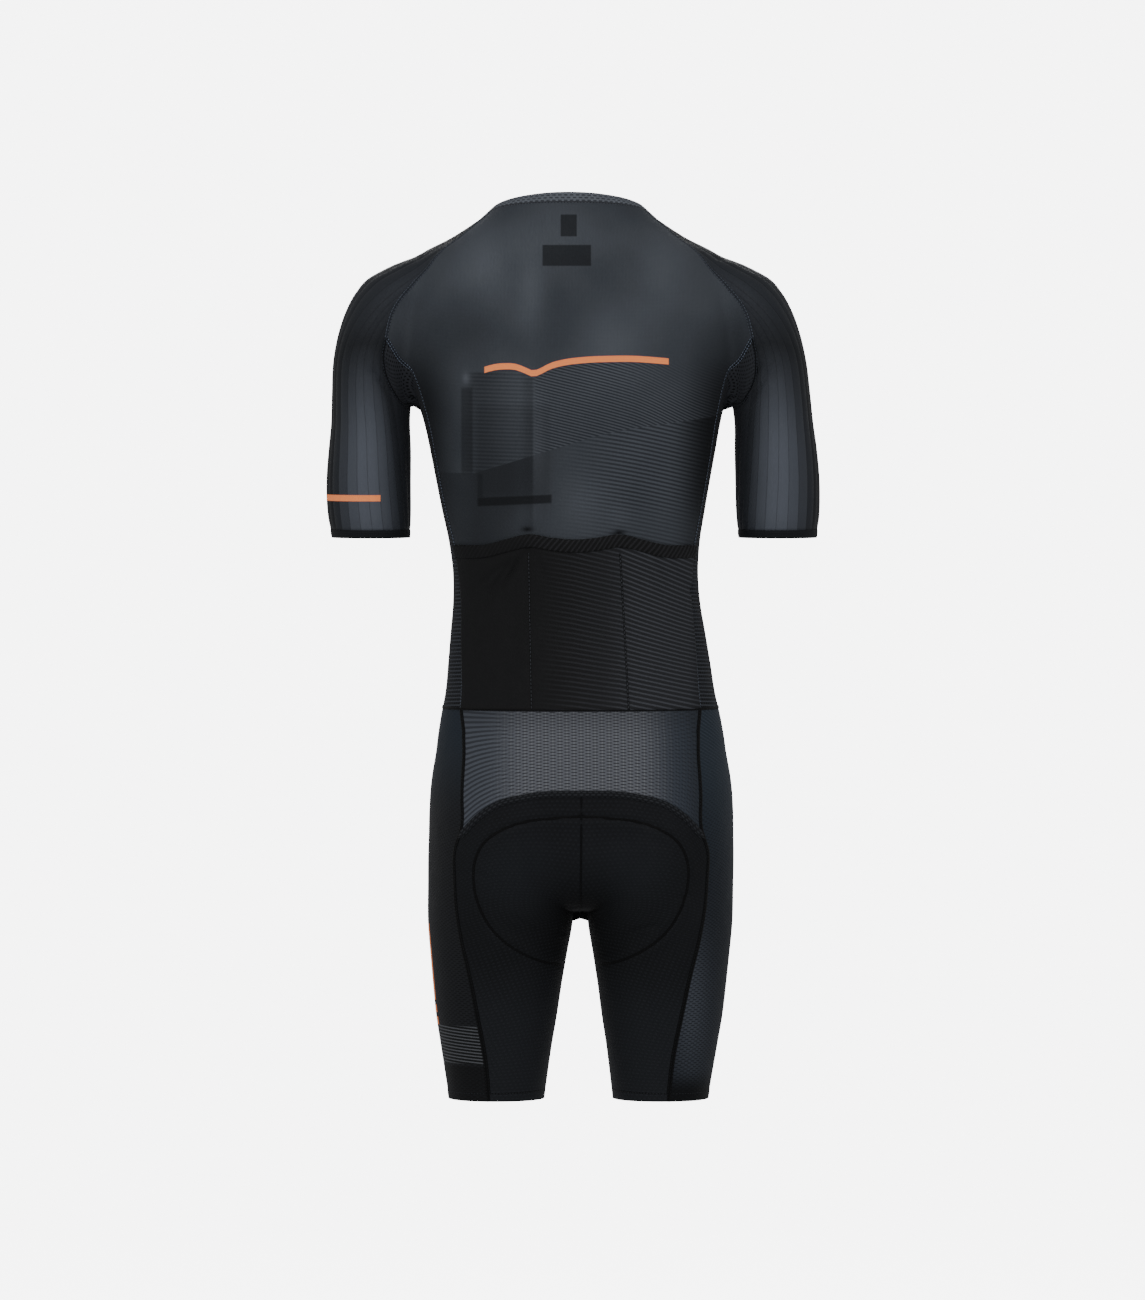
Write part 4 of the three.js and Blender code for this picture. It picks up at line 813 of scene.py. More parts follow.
def sheerFinish(name, back):
    f = Finish(name, **clothEven)
    x, y, z = f.place()
    u, v = f.cloth()
    cloud = f.noise(9.0)
    fine = f.noise(60.0, 4.0)
    base = f.mix(cloud.over(0.3, 0.7), paint(*sheer["ground"]), paint(*sheer["cloud"]))
    if back:
        base = f.mix(z.near(-78, 34) * x.near(104, 24) * 0.55, base, paint(*sheer["shade"]))
        # painted light: soft patches of light on the back, from the glows list
        for middle, height, width, tall, strength in sheer["glows"]:
            glow = x.near(middle, width) * z.near(height, tall) * strength
            base = f.mix(glow, base, paint(*sheer["light"]))
        curve = smoothTable(sheer["stripe"])
        stripeHeight = x.follow([(at, float(curve(np.array(at))[0])) for at in np.linspace(-101.0, 93.0, 36)])
        fieldHeight = x.follow(sheer["fieldEdge"])
        below = (z - stripeHeight).over(0, -5)
        lower = (z - fieldHeight).over(0.5, -0.5)
        fade = (1 - x.over(-30, -128) * (z - fieldHeight).over(8, 62) * 0.85) * x.over(122, 96)
        field = below * (1 - lower) * fade
        flat = x.over(37, 43)
        bend = z - x * 0.3 + x.over(-60, -140) * 8 + x.wave(230) * 4
        lines = bend.wave(sheer["fieldPitch"]).over(0.2, 0.75) * (1 - flat)
        lines = lines + (z - x * 0.03).wave(sheer["leftPitch"]).over(0.25, 0.75) * flat
        strength = field * (1 - flat * 0.62)
        base = f.mix(field * x.over(52, 96) * 0.6, base, paint(36, 38, 42))
        base = f.mix(strength * (1 - lines) * 0.8, base, paint(*sheer["gap"]))
        base = f.mix(strength * lines * 0.3, base, paint(*sheer["line"]))
        base = f.mix(lower * x.over(-20, 74) * x.over(140, 98, 0.3, 0.8), base, paint(*sheer["deep"]))
        lowLines = (z - x * 0.2 + x.wave(260) * 5).wave(sheer["lowPitch"]).over(0.25, 0.7)
        rightHand = x.over(24, -60)
        base = f.mix(lower * rightHand * (1 - lowLines) * 0.6, base, paint(34, 36, 40))
        base = f.mix(lower * rightHand * lowLines * 0.3, base, paint(100, 105, 114))
        base = f.mix(lower * x.over(-96, -148) * 0.75, base, paint(18, 19, 21))
        base = f.mix(lower * z.over(-240, -280) * x.over(104, 40) * 0.5, base, paint(70, 74, 80))
        # painted highlight and painted shade on either side of the fold that runs down at x 43: lighter from
        # x 22 to 43, darker from 43 to 58
        pull = z.over(-112, -124) * z.over(-296, -270)
        foldHighlight = pull * x.over(22, 38) * x.over(43, 40) * z.near(-190, 50) * 0.26
        base = f.mix(foldHighlight, base, paint(104, 108, 116))
        base = f.mix(pull * x.over(40, 43) * x.over(58, 44) * 0.3, base, paint(34, 36, 40))
        # painted shade for the inner pocket's edges and the labels, which lie behind
        behind = x.band(105, 117, 1.5) * z.band(-222, -132, 3) * 0.45
        behind = behind.atLeast(x.band(94, 100, 1.5) * z.band(-254, -222, 2) * 0.4)
        behind = behind.atLeast(x.band(22, 100, 1.5) * (z + x * 0.05).band(-252, -243, 1.2) * 0.75)
        behind = behind.atLeast(x.band(24, 100, 3) * z.band(-246, -150, 6) * 0.16)
        behind = behind.atLeast(x.band(-4.5, 12.5, 0.7) * z.band(27, 50, 0.7) * 0.72)
        behind = behind.atLeast(x.band(-19.5, 31.5, 0.7) * z.band(-4, 18, 0.7) * 0.72)
        base = f.mix(behind, base, paint(*sheer["behind"]))
        base = f.mix(x.near(112, 4) * z.near(-122, 6) * 0.6, base, paint(104, 108, 116))
        # painted shade in the two dents above the pocket dividers
        for middle, height in ((47.7, -281), (-49, -284.5)):
            base = f.mix(x.near(middle, 6) * z.near(height, 2.6) * 0.9, base, paint(16, 17, 19))
        low, high = sheer["stripeEnds"]
        half = sheer["stripeWidth"] / 2
        stripe = (z - stripeHeight).band(-half, half, 0.5) * x.band(low, high, 0.6)
        # the orange stripe: print, with a painted glow
        base = inkedWithGlow(f, base, stripe)
    # painted shade towards the sides
    edge = x.magnitude().over(104, 160) * z.over(-30, -160)
    base = f.mix(edge * 0.8, base, paint(16, 17, 19))
    threads = weave(u, v, 1.5)
    base = f.mix(threads * 0.2, base, paint(24, 25, 28))
    return f.dressed(base, 0.62 + fine * 0.2, threads * 0.6 + fine * 0.5, 0.25)


# Sleeve cloth: each rib has one tone, with painted highlights that make the ribs facing behind and in front
# the lightest
sleeveLook = {
    "ribs": 25, "ribWidth": 12.0, "dark": (22, 24, 27), "light": (98, 103, 113), "inner": (46, 48, 53),
}


def sleeveFinish(name, left):
    f = Finish(name, Sheen_Weight=0.06, Sheen_Roughness=0.35, Specular_IOR_Level=0.16)
    x, y, z = f.place()
    u, v = f.cloth()
    fine = f.noise(70.0, 3.0)
    rib = (u / sleeveLook["ribWidth"]).whole() + 0.5
    odd = ((rib * 0.5).part() - 0.5).magnitude() * 4 - 0.5
    # painted highlights down the ribs that face behind and in front, lower on the sleeve, and a fainter one
    # high on the back
    glow = rib.near(6.4, 2.9).atLeast(rib.near(18.6, 2.9) * 0.8)
    glow = glow * z.over(-60, -205) * z.over(-330, -258, 0.45, 1.0)
    glow = glow.atLeast(rib.near(6.4, 5.0) * z.near(-20, 60) * 0.26)
    glow = (glow * (0.86 + odd * 0.14)).atLeast(0)
    base = f.mix(glow, paint(*sleeveLook["dark"]), paint(*sleeveLook["light"]))
    # painted light: the ribs along the inner side, lower down, are painted lighter
    inner = rib.over(3.2, 1.2).atLeast(rib.over(21.8, 23.8)) * z.over(-60, -120)
    base = f.mix(inner * 0.9, base, paint(*sleeveLook["inner"]))
    # painted shade on the ribs round the outer side, lower down
    base = f.mix(rib.near(12.5, 4.6) * z.over(-60, -150) * 0.75, base, paint(16, 17, 19))
    # painted shade in the grooves between the ribs, which are also sunk as bumps
    share = (u / sleeveLook["ribWidth"]).part()
    groove = share.over(0.06, 0.0).atLeast(share.over(0.94, 1.0))
    base = f.mix(groove * 0.35, base, paint(16, 17, 19))
    if left:
        # the orange band on the left sleeve: print, with a painted glow
        base = inkedWithGlow(f, base, z.band(-252.5, -246, 0.5) * x.over(202.4, 203.2))
    threads = v.wave(1.3) * 0.5 + u.wave(1.2) * 0.5
    return f.dressed(base, 0.5 + fine * 0.2, threads * 0.5 + fine * 0.3 - groove * 0.8, 0.2)


# Pocket cloth: plain on the wearer's left, slanting lines on the right. Their shape is (x, height) points.
pocketLook = {
    "plain": (30, 30, 31), "right": (43, 44, 47), "line": (88, 90, 97), "pitch": 5.0,
    "shape": [(126, 20), (46, 12), (0, 4), (-50, -8), (-90, -24), (-136, -44)],
}


def pocketFinish(name):
    f = Finish(name, **clothEven)
    x, y, z = f.place()
    u, v = f.cloth()
    fine = f.noise(80.0, 3.0)
    right = x.over(20, -100)
    base = f.mix(right, paint(*pocketLook["plain"]), paint(*pocketLook["right"]))
    slant = z - x.follow(pocketLook["shape"]) * z.over(-470, -340, 0.55, 1.0)
    lines = slant.wave(pocketLook["pitch"]).over(0.45, 0.95)
    amount = x.over(44, -20, 0.0, 0.2) + x.over(-30, -70) * 0.36
    base = f.mix(lines * amount, base, paint(*pocketLook["line"]))
    # painted shade towards the side seam on the wearer's right, beyond x -120
    base = f.mix(x.over(-120, -142) * 0.6, base, paint(20, 21, 23))
    threads = weave(u, v, 1.4)
    base = f.mix(threads * 0.2, base, paint(16, 16, 17))
    return f.dressed(base, 0.68 + fine * 0.2, threads * 0.5 + lines * amount + fine * 0.4, 0.2)


# Mouth binding: rolled cloth with slanting pulls
bindingLook = {"ground": (26, 26, 27), "pull": (50, 50, 53), "pitch": 5.6}


def bindingFinish(name):
    f = Finish(name, **clothEven)
    x, y, z = f.place()
    u, v = f.cloth()
    fine = f.noise(80.0, 3.0)
    pull = (u + v * 0.8 + f.noise(14.0) * 5).wave(bindingLook["pitch"]).over(0.4, 0.9)
    pull = pull * x.over(66, 20, 0.25, 1.0)
    base = f.mix(pull * 0.6, paint(*bindingLook["ground"]), paint(*bindingLook["pull"]))
    return f.dressed(base, 0.66 + fine * 0.2, pull + fine * 0.3, 0.4)


# Yoke: knit dashes in the middle, lines on the wearer's left, a blue fade on the right
yokeLook = {
    "middle": (100, 102, 108), "left": (82, 86, 94), "right": (46, 53, 63), "mark": (34, 36, 40),
    "dash": (14.8, 1.95), "pitch": 4.6,
}


def yokeFinish(name):
    f = Finish(name, **clothEven)
    x, y, z = f.place()
    u, v = f.cloth()
    fine = f.noise(80.0, 3.0)
    leftward, rightward = x.over(44, 96), x.over(-62, -116)
    base = f.mix(leftward, paint(*yokeLook["middle"]), paint(*yokeLook["left"]))
    base = f.mix(rightward * 0.85, base, paint(*yokeLook["right"]))
    long, high = yokeLook["dash"]
    dashes = bricks(u, v, long, high, 0.4, 0.62)
    uprights = (u / (long / 2) + 0.5).part().band(0.42, 0.58, 0.08)
    lines = (v + u * 0.06).wave(yokeLook["pitch"]).over(0.4, 0.75)
    marks = dashes * (1 - leftward) + lines * leftward * 0.8
    base = f.mix(uprights * (1 - leftward) * (0.34 - rightward * 0.3), base, paint(150, 152, 156))
    base = f.mix(marks * (0.8 - rightward * 0.3), base, paint(*yokeLook["mark"]))
    # painted shade towards the sides
    base = f.mix(x.magnitude().over(112, 134) * 0.4, base, paint(24, 26, 30))
    base = f.mix(z.over(-500, -474) * 0.3, base, paint(44, 46, 50))
    return f.dressed(base, 0.62 + fine * 0.2, fine * 0.3 - marks * 0.8, 0.3)


# Seat and legs: near black with a faint knit
seatLook = {"ground": (21, 22, 24), "cloud": (27, 28, 31), "mark": (41, 43, 48), "dash": (5.6, 3.9)}


def seatFinish(name, back):
    f = Finish(name, **clothEven)
    x, y, z = f.place()
    u, v = f.cloth()
    fine = f.noise(80.0, 3.0)
    base = f.mix(f.noise(7.0).over(0.35, 0.7), paint(*seatLook["ground"]), paint(*seatLook["cloud"]))
    if back:
        # painted highlights on the two rounded halves of the seat
        base = f.mix(z.near(-640, 44) * x.magnitude().near(62, 46) * 0.4, base, paint(38, 41, 46))
        # painted shade low on the middle line, between the legs
        base = f.mix(x.near(-8, 26) * z.over(-640, -700) * 0.8, base, paint(7, 7, 8))
    else:
        base = f.mix(z.over(-560, -478) * 0.35, base, paint(36, 38, 42))
    base = f.mix(z.over(-720, -810) * 0.6, base, paint(37, 39, 43))
    long, high = seatLook["dash"]
    dashes = bricks(u, v, long, high, 0.55, 0.45)
    base = f.mix(dashes * z.over(-700, -800, 0.3, 0.5), base, paint(*seatLook["mark"]))
    return f.dressed(base, 0.6 + fine * 0.22, dashes * 0.8 + fine * 0.3, 0.22)


# Outer legs: a dashed mesh, blue-grey on the wearer's right, with print bars on the left
outerLook = {
    "left": (35, 36, 39), "right": (34, 38, 45), "glow": (70, 74, 82), "top": (42, 50, 59),
    "dash": (7.8, 2.15), "hatch": (-846, -806), "hatchPitch": 3.4, "hatchLine": (88, 90, 94),
    "bar": [(-812, 141.5), (-782, 145.5), (-703, 152.5)],
}


def outerLegFinish(name, left):
    f = Finish(name, **clothEven)
    x, y, z = f.place()
    u, v = f.cloth()
    fine = f.noise(80.0, 3.0)
    top = z.over(-600, -480)
    if left:
        base = f.mix(top * 0.8, paint(*outerLook["left"]), paint(*outerLook["top"]))
        ink = paint(13, 13, 14)
    else:
        # painted highlight: a soft light patch low on the wearer's right outer leg
        glow = z.near(-780, 90) * x.near(-124, 22)
        base = f.mix(glow, paint(*outerLook["right"]), paint(*outerLook["glow"]))
        base = f.mix(z.over(-720, -520), base, paint(*outerLook["top"]))
        threads = (v - u * 0.4).wave(3.2).over(0.4, 0.8) * top
        base = f.mix(threads * 0.35, base, paint(72, 80, 90))
        base = f.mix(z.over(-850, -878), base, paint(20, 21, 23))
        ink = paint(13, 15, 18)
    long, high = outerLook["dash"]
    marks = bricks(u, v, long, high, 0.6, 0.6) * z.over(-520, -640, 0.3, 1.0)
    base = f.mix(marks * 0.6, base, ink)
    if left:
        low, up = outerLook["hatch"]
        hatch = z.band(low, up, 0.8)
        base = f.mix(hatch, base, paint(22, 23, 24))
        hatchLines = (z - x * 0.08).wave(outerLook["hatchPitch"]).over(0.45, 0.85)
        base = f.mix(hatch * hatchLines, base, paint(*outerLook["hatchLine"]))
        base = f.mix(z.over(-847, -850) * 0.6, base, paint(18, 18, 19))
        dash = z.wave(13).over(0.2, 0.35).atLeast(z.over(-782, -778))
        outer = x - z.follow(outerLook["bar"])
        # the orange print bars: print, with a painted glow
        base = inkedWithGlow(f, base, outer.over(-1.2, -0.4) * z.band(-808, -700, 0.6) * dash * y.over(13.6, 14.4))
    return f.dressed(base, 0.6 + fine * 0.2, fine * 0.3 - marks * 0.8, 0.28)


# Side panels and the inner pocket: small holes in staggered rows
meshLook = {
    "ground": (27, 28, 31), "cloud": (36, 38, 42), "hole": (9, 9, 10), "across": 4.2, "up": 3.6, "lines": 4.0,
}


def perforatedFinish(name):
    f = Finish(name, **clothEven)
    x, y, z = f.place()
    u, v = f.cloth()
    fine = f.noise(80.0, 3.0)
    row = v / meshLook["up"]
    shift = (row.whole() * 0.5).part()
    over = ((u / meshLook["across"] + shift).part() - 0.5) * meshLook["across"]
    up = (row.part() - 0.5) * meshLook["up"]
    hole = (over * over + up * up).over(1.5, 0.6)
    base = f.mix(fine, paint(*meshLook["ground"]), paint(*meshLook["cloud"]))
    # painted light: lighter from a height of -184 up, which lifts the shade by the armpits
    base = f.mix(z.over(-184, -140) * 0.85, base, paint(54, 56, 61))
    base = f.mix(hole * 0.85, base, paint(*meshLook["hole"]))
    lines = (z + u * 0.05).wave(meshLook["lines"]).over(0.5, 0.9) * z.over(-180, -250) * y.over(12, 24)
    base = f.mix(lines * 0.6, base, paint(74, 77, 84))
    return f.dressed(base, 0.7 + fine * 0.15, fine * 0.3 - hole, 0.35)


def bandFinish(name, ground, mark, dashed=True):
    f = Finish(name, **clothEven)
    u, v = f.cloth()
    fine = f.noise(90.0, 3.0)
    base = f.mix(fine, paint(*[c * 0.88 for c in ground]), paint(*[c * 1.12 for c in ground]))
    marks = bricks(u, v, 6.2, 3.0, 0.6, 0.5) if dashed else weave(u, v, 2.0)
    base = f.mix(marks * 0.8, base, paint(*mark))
    return f.dressed(base, 0.66 + fine * 0.2, marks * 0.6 + fine * 0.4, 0.25)


# A flat seam: thread dashes in two rows at +-rows across it, with a fine zigzag between them.
def seamFinish(name, ground, thread, pitch=3.4, rows=0.55):
    f = Finish(name, **clothEven)
    u, v = f.cloth()
    fine = f.noise(90.0, 3.0)
    across = v / 2.4
    dash = (u / pitch).part().band(0.18, 0.82, 0.08)
    stitch = (across.magnitude() - rows).magnitude().over(0.2, 0.1) * dash
    zigzag = ((u / pitch).part() * 2 - 1).magnitude() * 1.1 - 0.55
    between = (across - zigzag).magnitude().over(0.16, 0.06) * across.magnitude().over(rows, rows - 0.1)
    base = f.mix(fine, paint(*[c * 0.88 for c in ground]), paint(*[c * 1.12 for c in ground]))
    base = f.mix(between * 0.35, base, paint(*thread))
    base = f.mix(stitch, base, paint(*thread))
    return f.dressed(base, 0.6 + fine * 0.2, stitch + between * 0.5 + fine * 0.2, 0.3)


def metalFinish(name):
    f = Finish(name, Specular_IOR_Level=0.5)
    scratch = f.noise(260.0, 5.0)
    worn = f.noise(900.0, 2.0).over(0.6, 0.72)
    base = f.mix(worn * 0.6, paint(38, 38, 41), paint(120, 120, 122))
    f.tree.links.new((0.55 + worn * 0.3).socket, f.shader.inputs["Metallic"])
    return f.dressed(base, 0.3 + scratch * 0.25, scratch, 0.05)
print("finishes described")


def solidified(piece, thickness):
    wall = piece.modifiers.new("wall", "SOLIDIFY")
    wall.thickness, wall.offset, wall.use_even_offset = thickness / 1000, -1, False


# Gives a piece its finish and its wall, hangs it on the garment, hides the node that it stands for, and
# prints its worn area beside the area of the cloth it was cut from.
def wear(piece, finish, node, cut=None, area=None, thickness=None):
    piece.data.materials.append(finish)
    if thickness is None:
        thickness = suit["clothThickness"]
    if thickness:
        solidified(piece, thickness)
    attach(piece, "garment")
    if node:
        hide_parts(node)
    if cut:
        faces = piece.data
        size = np.zeros(len(faces.polygons))
        faces.polygons.foreach_get("area", size)
        print(piece.name, "worn area", round(float(size.sum()), 4), "cut area", area)
    return piece


# Narrow bands along lines of places: across each line by width/2 * w, out by lift + crown * (1 - w^2), edges
# sunk.
def strip(name, lines, width, crown, lift=0.15, finish=None):
    points, faces, uvs = [], [], []
    over = np.array([-1, -0.82, -0.4, 0, 0.4, 0.82, 1.0])
    height = lift + crown * (1 - over**2) - np.where(np.abs(over) == 1, lift + 0.5, 0)
    base = 0
    for line in lines:
        line = np.asarray(line, float)
        out = outward(line)
        way = np.gradient(line, axis=0)
        side = np.cross(out, way)
        side /= np.linalg.norm(side, axis=-1, keepdims=True)
        level = height[None, :] - troughs(line)[:, None]
        grid = (line[:, None] + side[:, None] * (over * width / 2)[None, :, None]
                + out[:, None] * level[..., None])
        run = runAlong(line)
        uv = np.stack(np.broadcast_arrays(run[:, None], over[None] * width / 2), -1) / 1000
        rows, columns = grid.shape[:2]
        cell = base + np.arange(rows * columns).reshape(rows, columns)
        quads = np.stack(cellCorners(cell), -1).reshape(-1, 4)
        j, i = rows // 2, 3
        face = np.cross(grid[j, i + 1] - grid[j, i], grid[j + 1, i] - grid[j, i])
        if face @ out[j] < 0:
            quads = quads[:, ::-1]
        points.append(placed(grid).reshape(-1, 3))
        faces.append(quads)
        uvs.append(uv.reshape(-1, 2))
        base += rows * columns
    faces = np.concatenate(faces)
    piece = newPiece(name, np.concatenate(points), faces, np.concatenate(uvs)[faces.ravel()])
    piece.data.materials.append(finish)
    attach(piece, "garment")
    return piece


# The same line stepped evenly, by its length.
def evenly(line, gap=2.4):
    line = np.asarray(line, float)
    run = runAlong(line)
    steps = max(3, int(run[-1] / (gap * thin)))
    at = np.linspace(0, run[-1], steps + 1)
    return np.stack([np.interp(at, run, line[:, k]) for k in range(3)], -1)


# The line with its corners rounded: each place drawn to the mean of its neighbours, turn by turn
def eased(line, turns):
    line = line.copy()
    for _ in range(turns):
        line[1:-1] = (line[:-2] + 2 * line[1:-1] + line[2:]) / 4
    return settle(line)


def bothSides(line):
    return [evenly(line), evenly(mirror(line))]


# Seams and stitches. The upper ones show pale thread, the lower ones are dark.
sideStitches = strip("sideSeams", bothSides(sideBack) + bothSides(sideFront), 4.6, 0.45,
                     finish=seamFinish("side seam", (16, 17, 19), (118, 128, 146)))
raglanStitches = strip("raglanSeams", bothSides(raglanBack) + bothSides(raglanFront), 4.2, 0.4,
                       finish=seamFinish("raglan seam", (40, 43, 48), (86, 92, 103)))
armholeStitches = strip("armholeSeams", bothSides(armholeBack) + bothSides(armholeFront), 4.2, 0.4,
                        finish=seamFinish("armhole seam", (14, 15, 17), (56, 60, 68)))
legStitches = strip("legSeams", bothSides(outerBack) + bothSides(outerFront), 5.4, 0.6,
                    finish=seamFinish("leg seam", (10, 10, 11), (24, 25, 27)))
centreLine = np.concatenate([
    evenly(centreBack[: seatRows + 1]), evenly(centreFront[: yokeRows + seatRows])[::-1][1:]])
centreStitches = strip("centreSeam", [evenly(centreLine)] + bothSides(innerLeg), 2.2, 0.3,
                       finish=seamFinish("centre seam", (14, 14, 16), (22, 23, 25)))
waistLines = [evenly(waistBack)] + bothSides(waistSide) + bothSides(waistFront)
waistStitches = strip("waistSeam", waistLines, 3.6, 0.35, lift=0.4,
                      finish=seamFinish("waist seam", (12, 12, 13), (36, 38, 42)))
neckStitches = strip("neckSeam", [evenly(neckSeam)], 2.6, 0.3,
                     finish=seamFinish("neck seam", (48, 50, 55), (92, 96, 103), rows=0.5))
print("seams sewn")

# Upper panels
backRelief = np.zeros(backGrid.shape[:2])
bx, bz = backGrid[..., 0] + lean(backGrid[..., 2])[0], backGrid[..., 2]
runDown = smoothStep(-112, -126, bz) * smoothStep(-300, -262, bz)
backRelief += runDown * (0.9 * np.exp(-(((bx - 43) / 6) ** 2)) - 1.3 * np.exp(-(((bx - 34) / 5) ** 2)))
backRelief -= 0.9 * np.exp(-((bx - 110) / 5) ** 2) * smoothStep(-124, -134, bz) * smoothStep(-232, -214, bz)
raisedBlock = 0.35 * (smoothStep(20, 23, bx) - smoothStep(100, 103, bx))
backRelief += raisedBlock * smoothStep(-256, -253, bz) * smoothStep(-130, -150, bz)
for px, pz in ((45, -281), (-50, -285)):
    backRelief -= 1.6 * np.exp(-((bx - px) / 7) ** 2 - ((bz - pz) / 5) ** 2)
backCloth = clothMesh("backCloth", backGrid, relief=backRelief, middle=backColumns // 2)
wear(backCloth, sheerFinish("sheer back cloth", True), "back_panel",
     cut=(0.41, 0.56), area=0.165)
sheerFront = sheerFinish("sheer front cloth", False)
gridWays = (("Left", lambda g: g), ("Right", mirror))
for hand, way in gridWays:
    side = hand.lower()
    piece = clothMesh("front" + hand, way(frontGrid))
    wear(piece, sheerFront, "front_" + side, cut=(0.2, 0.53), area=0.074)
    piece = clothMesh("sidePanel" + hand, way(sideGrid))
    wear(piece, perforatedFinish("perforated side cloth " + side), "side_panel_" + side,
         cut=(0.125, 0.4), area=0.0305)
    sleeve = way(sleeveGrid)
    ribShare = ringShare * sleeveLook["ribs"]
    ribs = 0.6 * np.abs(np.sin(math.pi * ribShare)) ** 0.7
    fade = smoothStep(0, 0.04, rise) * smoothStep(1, 0.92, rise)
    piece = clothMesh("sleeve" + hand, sleeve, ring=True, relief=ribs[None] * fade - 0.1,
                      over=(ribShare * sleeveLook["ribWidth"])[None])
    cuffRelief = 0.55 - 0.35 * (np.linspace(-1, 1, 5)[:, None] ** 2)
    cuffBand = clothMesh("cuffBand" + hand, way(cuffGrid), ring=True, relief=cuffRelief)
    wear(cuffBand, bandFinish("cuff elastic " + side, (26, 27, 30), (40, 42, 46), False), "cuff_band_" + side)
    wear(piece, sleeveFinish("ribbed sleeve cloth " + side, hand == "Left"), "sleeve_" + side,
         cut=(0.36, 0.36), area=0.073)
neckRelief = 0.35 + 0.35 * np.sin(math.pi * neckRise)
neckCloth = clothMesh("neckBand", neckGrid, relief=neckRelief, middle=neckGrid.shape[1] // 2)
wear(neckCloth, bandFinish("neck band cloth", (98, 102, 109), (46, 49, 54)), "neckband",
     cut=(0.46, 0.0125))
print("upper panels sewn")

# Pockets: dividers pressed in, mouths pulled into small tucks at their ends
px = pocketGrid[..., 0] + lean(pocketGrid[..., 2])[0]
pz = pocketGrid[..., 2]
pocketShape = {
    "dividers": ((46, 0.018), (-50, 0.055)),  # x and lean of each
    "lift": 1.3, "fullness": 0.6, "tuck": 0.35,
    "tuckScale": 7.3,  # the tucks repeat every 2 pi times this
}


# Where a divider stands at a height: its x at -307, plus its lean times the height above that.
def dividerAt(divider, height):
    return divider[0] + (height + 307) * divider[1]


pocketFull = pocketShape["fullness"] * np.sin(math.pi * np.clip((pz + 471) / 172, 0, 1))
pocketRelief = pocketFull * (1 - np.clip(np.abs(px) / 150, 0, 1) ** 4)
for divider in pocketShape["dividers"]:
    pocketRelief -= 0.9 * np.exp(-((px - dividerAt(divider, pz)) / 2.6) ** 2)
pocketCloth = clothMesh("pocketPanel", pocketGrid, lift=pocketShape["lift"], relief=pocketRelief,
                        middle=backColumns // 2)
dividerHeights = np.linspace(-470, -306, count(110))
leaning = lean(dividerHeights)[0]
dividers = [backFace[0](dividerAt(divider, dividerHeights) - leaning, dividerHeights)
            for divider in pocketShape["dividers"]]
dividerRise = pocketShape["fullness"] * np.sin(math.pi * (dividerHeights + 471) / 172)[:, None]
dividers = [line + outward(line) * dividerRise for line in dividers]
dividerStitches = strip("pocketStitches", dividers, 2.4, 0.1, lift=0.6,
                        finish=seamFinish(
                            "pocket stitching", (16, 16, 17), (66, 68, 73), pitch=4.2, rows=0.0))
wear(pocketCloth, pocketFinish("pocket cloth"), "pocket_panel",
     cut=(0.285, 0.172), area=0.0465)
bindingX = bindingGrid[..., 0]
bindingRoll = np.sin(math.pi * np.linspace(0, 1, 9))[:, None]
tucks = pocketShape["tuck"] * np.sin(bindingX / pocketShape["tuckScale"])
bindingRelief = 0.5 * bindingRoll + tucks * bindingRoll * (0.4 + 0.6 * (bindingX < 60))
binding = clothMesh("pocketBinding", bindingGrid, lift=2.5, relief=bindingRelief, middle=backColumns // 2)
wear(binding, bindingFinish("pocket binding"), "pocket_binding",
     cut=(0.295, 0.0138))


# A grid on the back's surface between two places across and two heights.
def behindBack(x1, x2, z1, z2, columns, rows):
    x, z = np.meshgrid(np.linspace(x1, x2, count(columns) + 1), np.linspace(z1, z2, count(rows) + 1))
    return backFace[0](x, z)


for name, node, box, cut in (  # box: two places across, two heights, columns, rows
    ("labelSmall", "neck_label_small", (-8.5, 8.5, 27, 50, 12, 16), (0.017, 0.026)),
    ("labelLarge", "neck_label_large", (-23.5, 27.5, -4, 18, 24, 14), (0.051, 0.023)),
):
    piece = clothMesh(name, behindBack(*box), lift=-2.4)
    wear(piece, bandFinish(name + " tape", (16, 16, 18), (12, 12, 13), False), node,
         cut=cut, thickness=0.3)
innerPocket = clothMesh("innerPocket", behindBack(21, 111, -252, -126, 40, 54), lift=-2.4)
wear(innerPocket, perforatedFinish("inner pocket mesh"), "inner_pocket",
     cut=(0.096, 0.127), thickness=0.6)
print("pockets and labels sewn")

# Lower panels
yoke = clothMesh("yoke", yokeGrid, middle=backColumns // 2)
wear(yoke, yokeFinish("yoke cloth"), "yoke_back", cut=(0.32, 0.12), area=0.0245)

# The pad's rim, round the leg by angle and height, and the pad between it and the middle line
padRim = smoothTable([
    [0, 97, -588], [0.08, 80.5, -607], [0.17, 74.3, -642], [0.25, 77.4, -676], [0.32, 85.6, -703],
    [0.39, 98.7, -722], [0.46, 121, -737], [0.53, 160, -743], [0.6, 195, -741], [0.68, 222, -728],
    [0.76, 243, -700], [0.84, 252, -660], [0.92, 252, -618], [1, 244, -585],
])
padRows, padColumns = count(120), count(56)
padShare = np.linspace(0, 1, padRows + 1)
padMiddle = middlePlace(13 + 139 * padShare)
padMiddleNumbers = legRing[1](padMiddle, math.radians(359))
rimAngle, rimHeight = padRim(padShare)
padOut = np.linspace(0, 1, padColumns + 1)[None, :]
padHalf = legRing[0](
    padMiddleNumbers[:, :1] * (1 - padOut) + np.radians(rimAngle)[:, None] * padOut,
    padMiddleNumbers[:, 1:] * (1 - padOut) + rimHeight[:, None] * padOut,
)
padHalf[:, 0] = padMiddle
rimLine = eased(evenly(np.concatenate([padHalf[0], padHalf[1:, -1], padHalf[-1, -2::-1]]), 2.5), 50)
padOver = np.concatenate([-padOut[0, :0:-1], padOut[0]])[None, :]
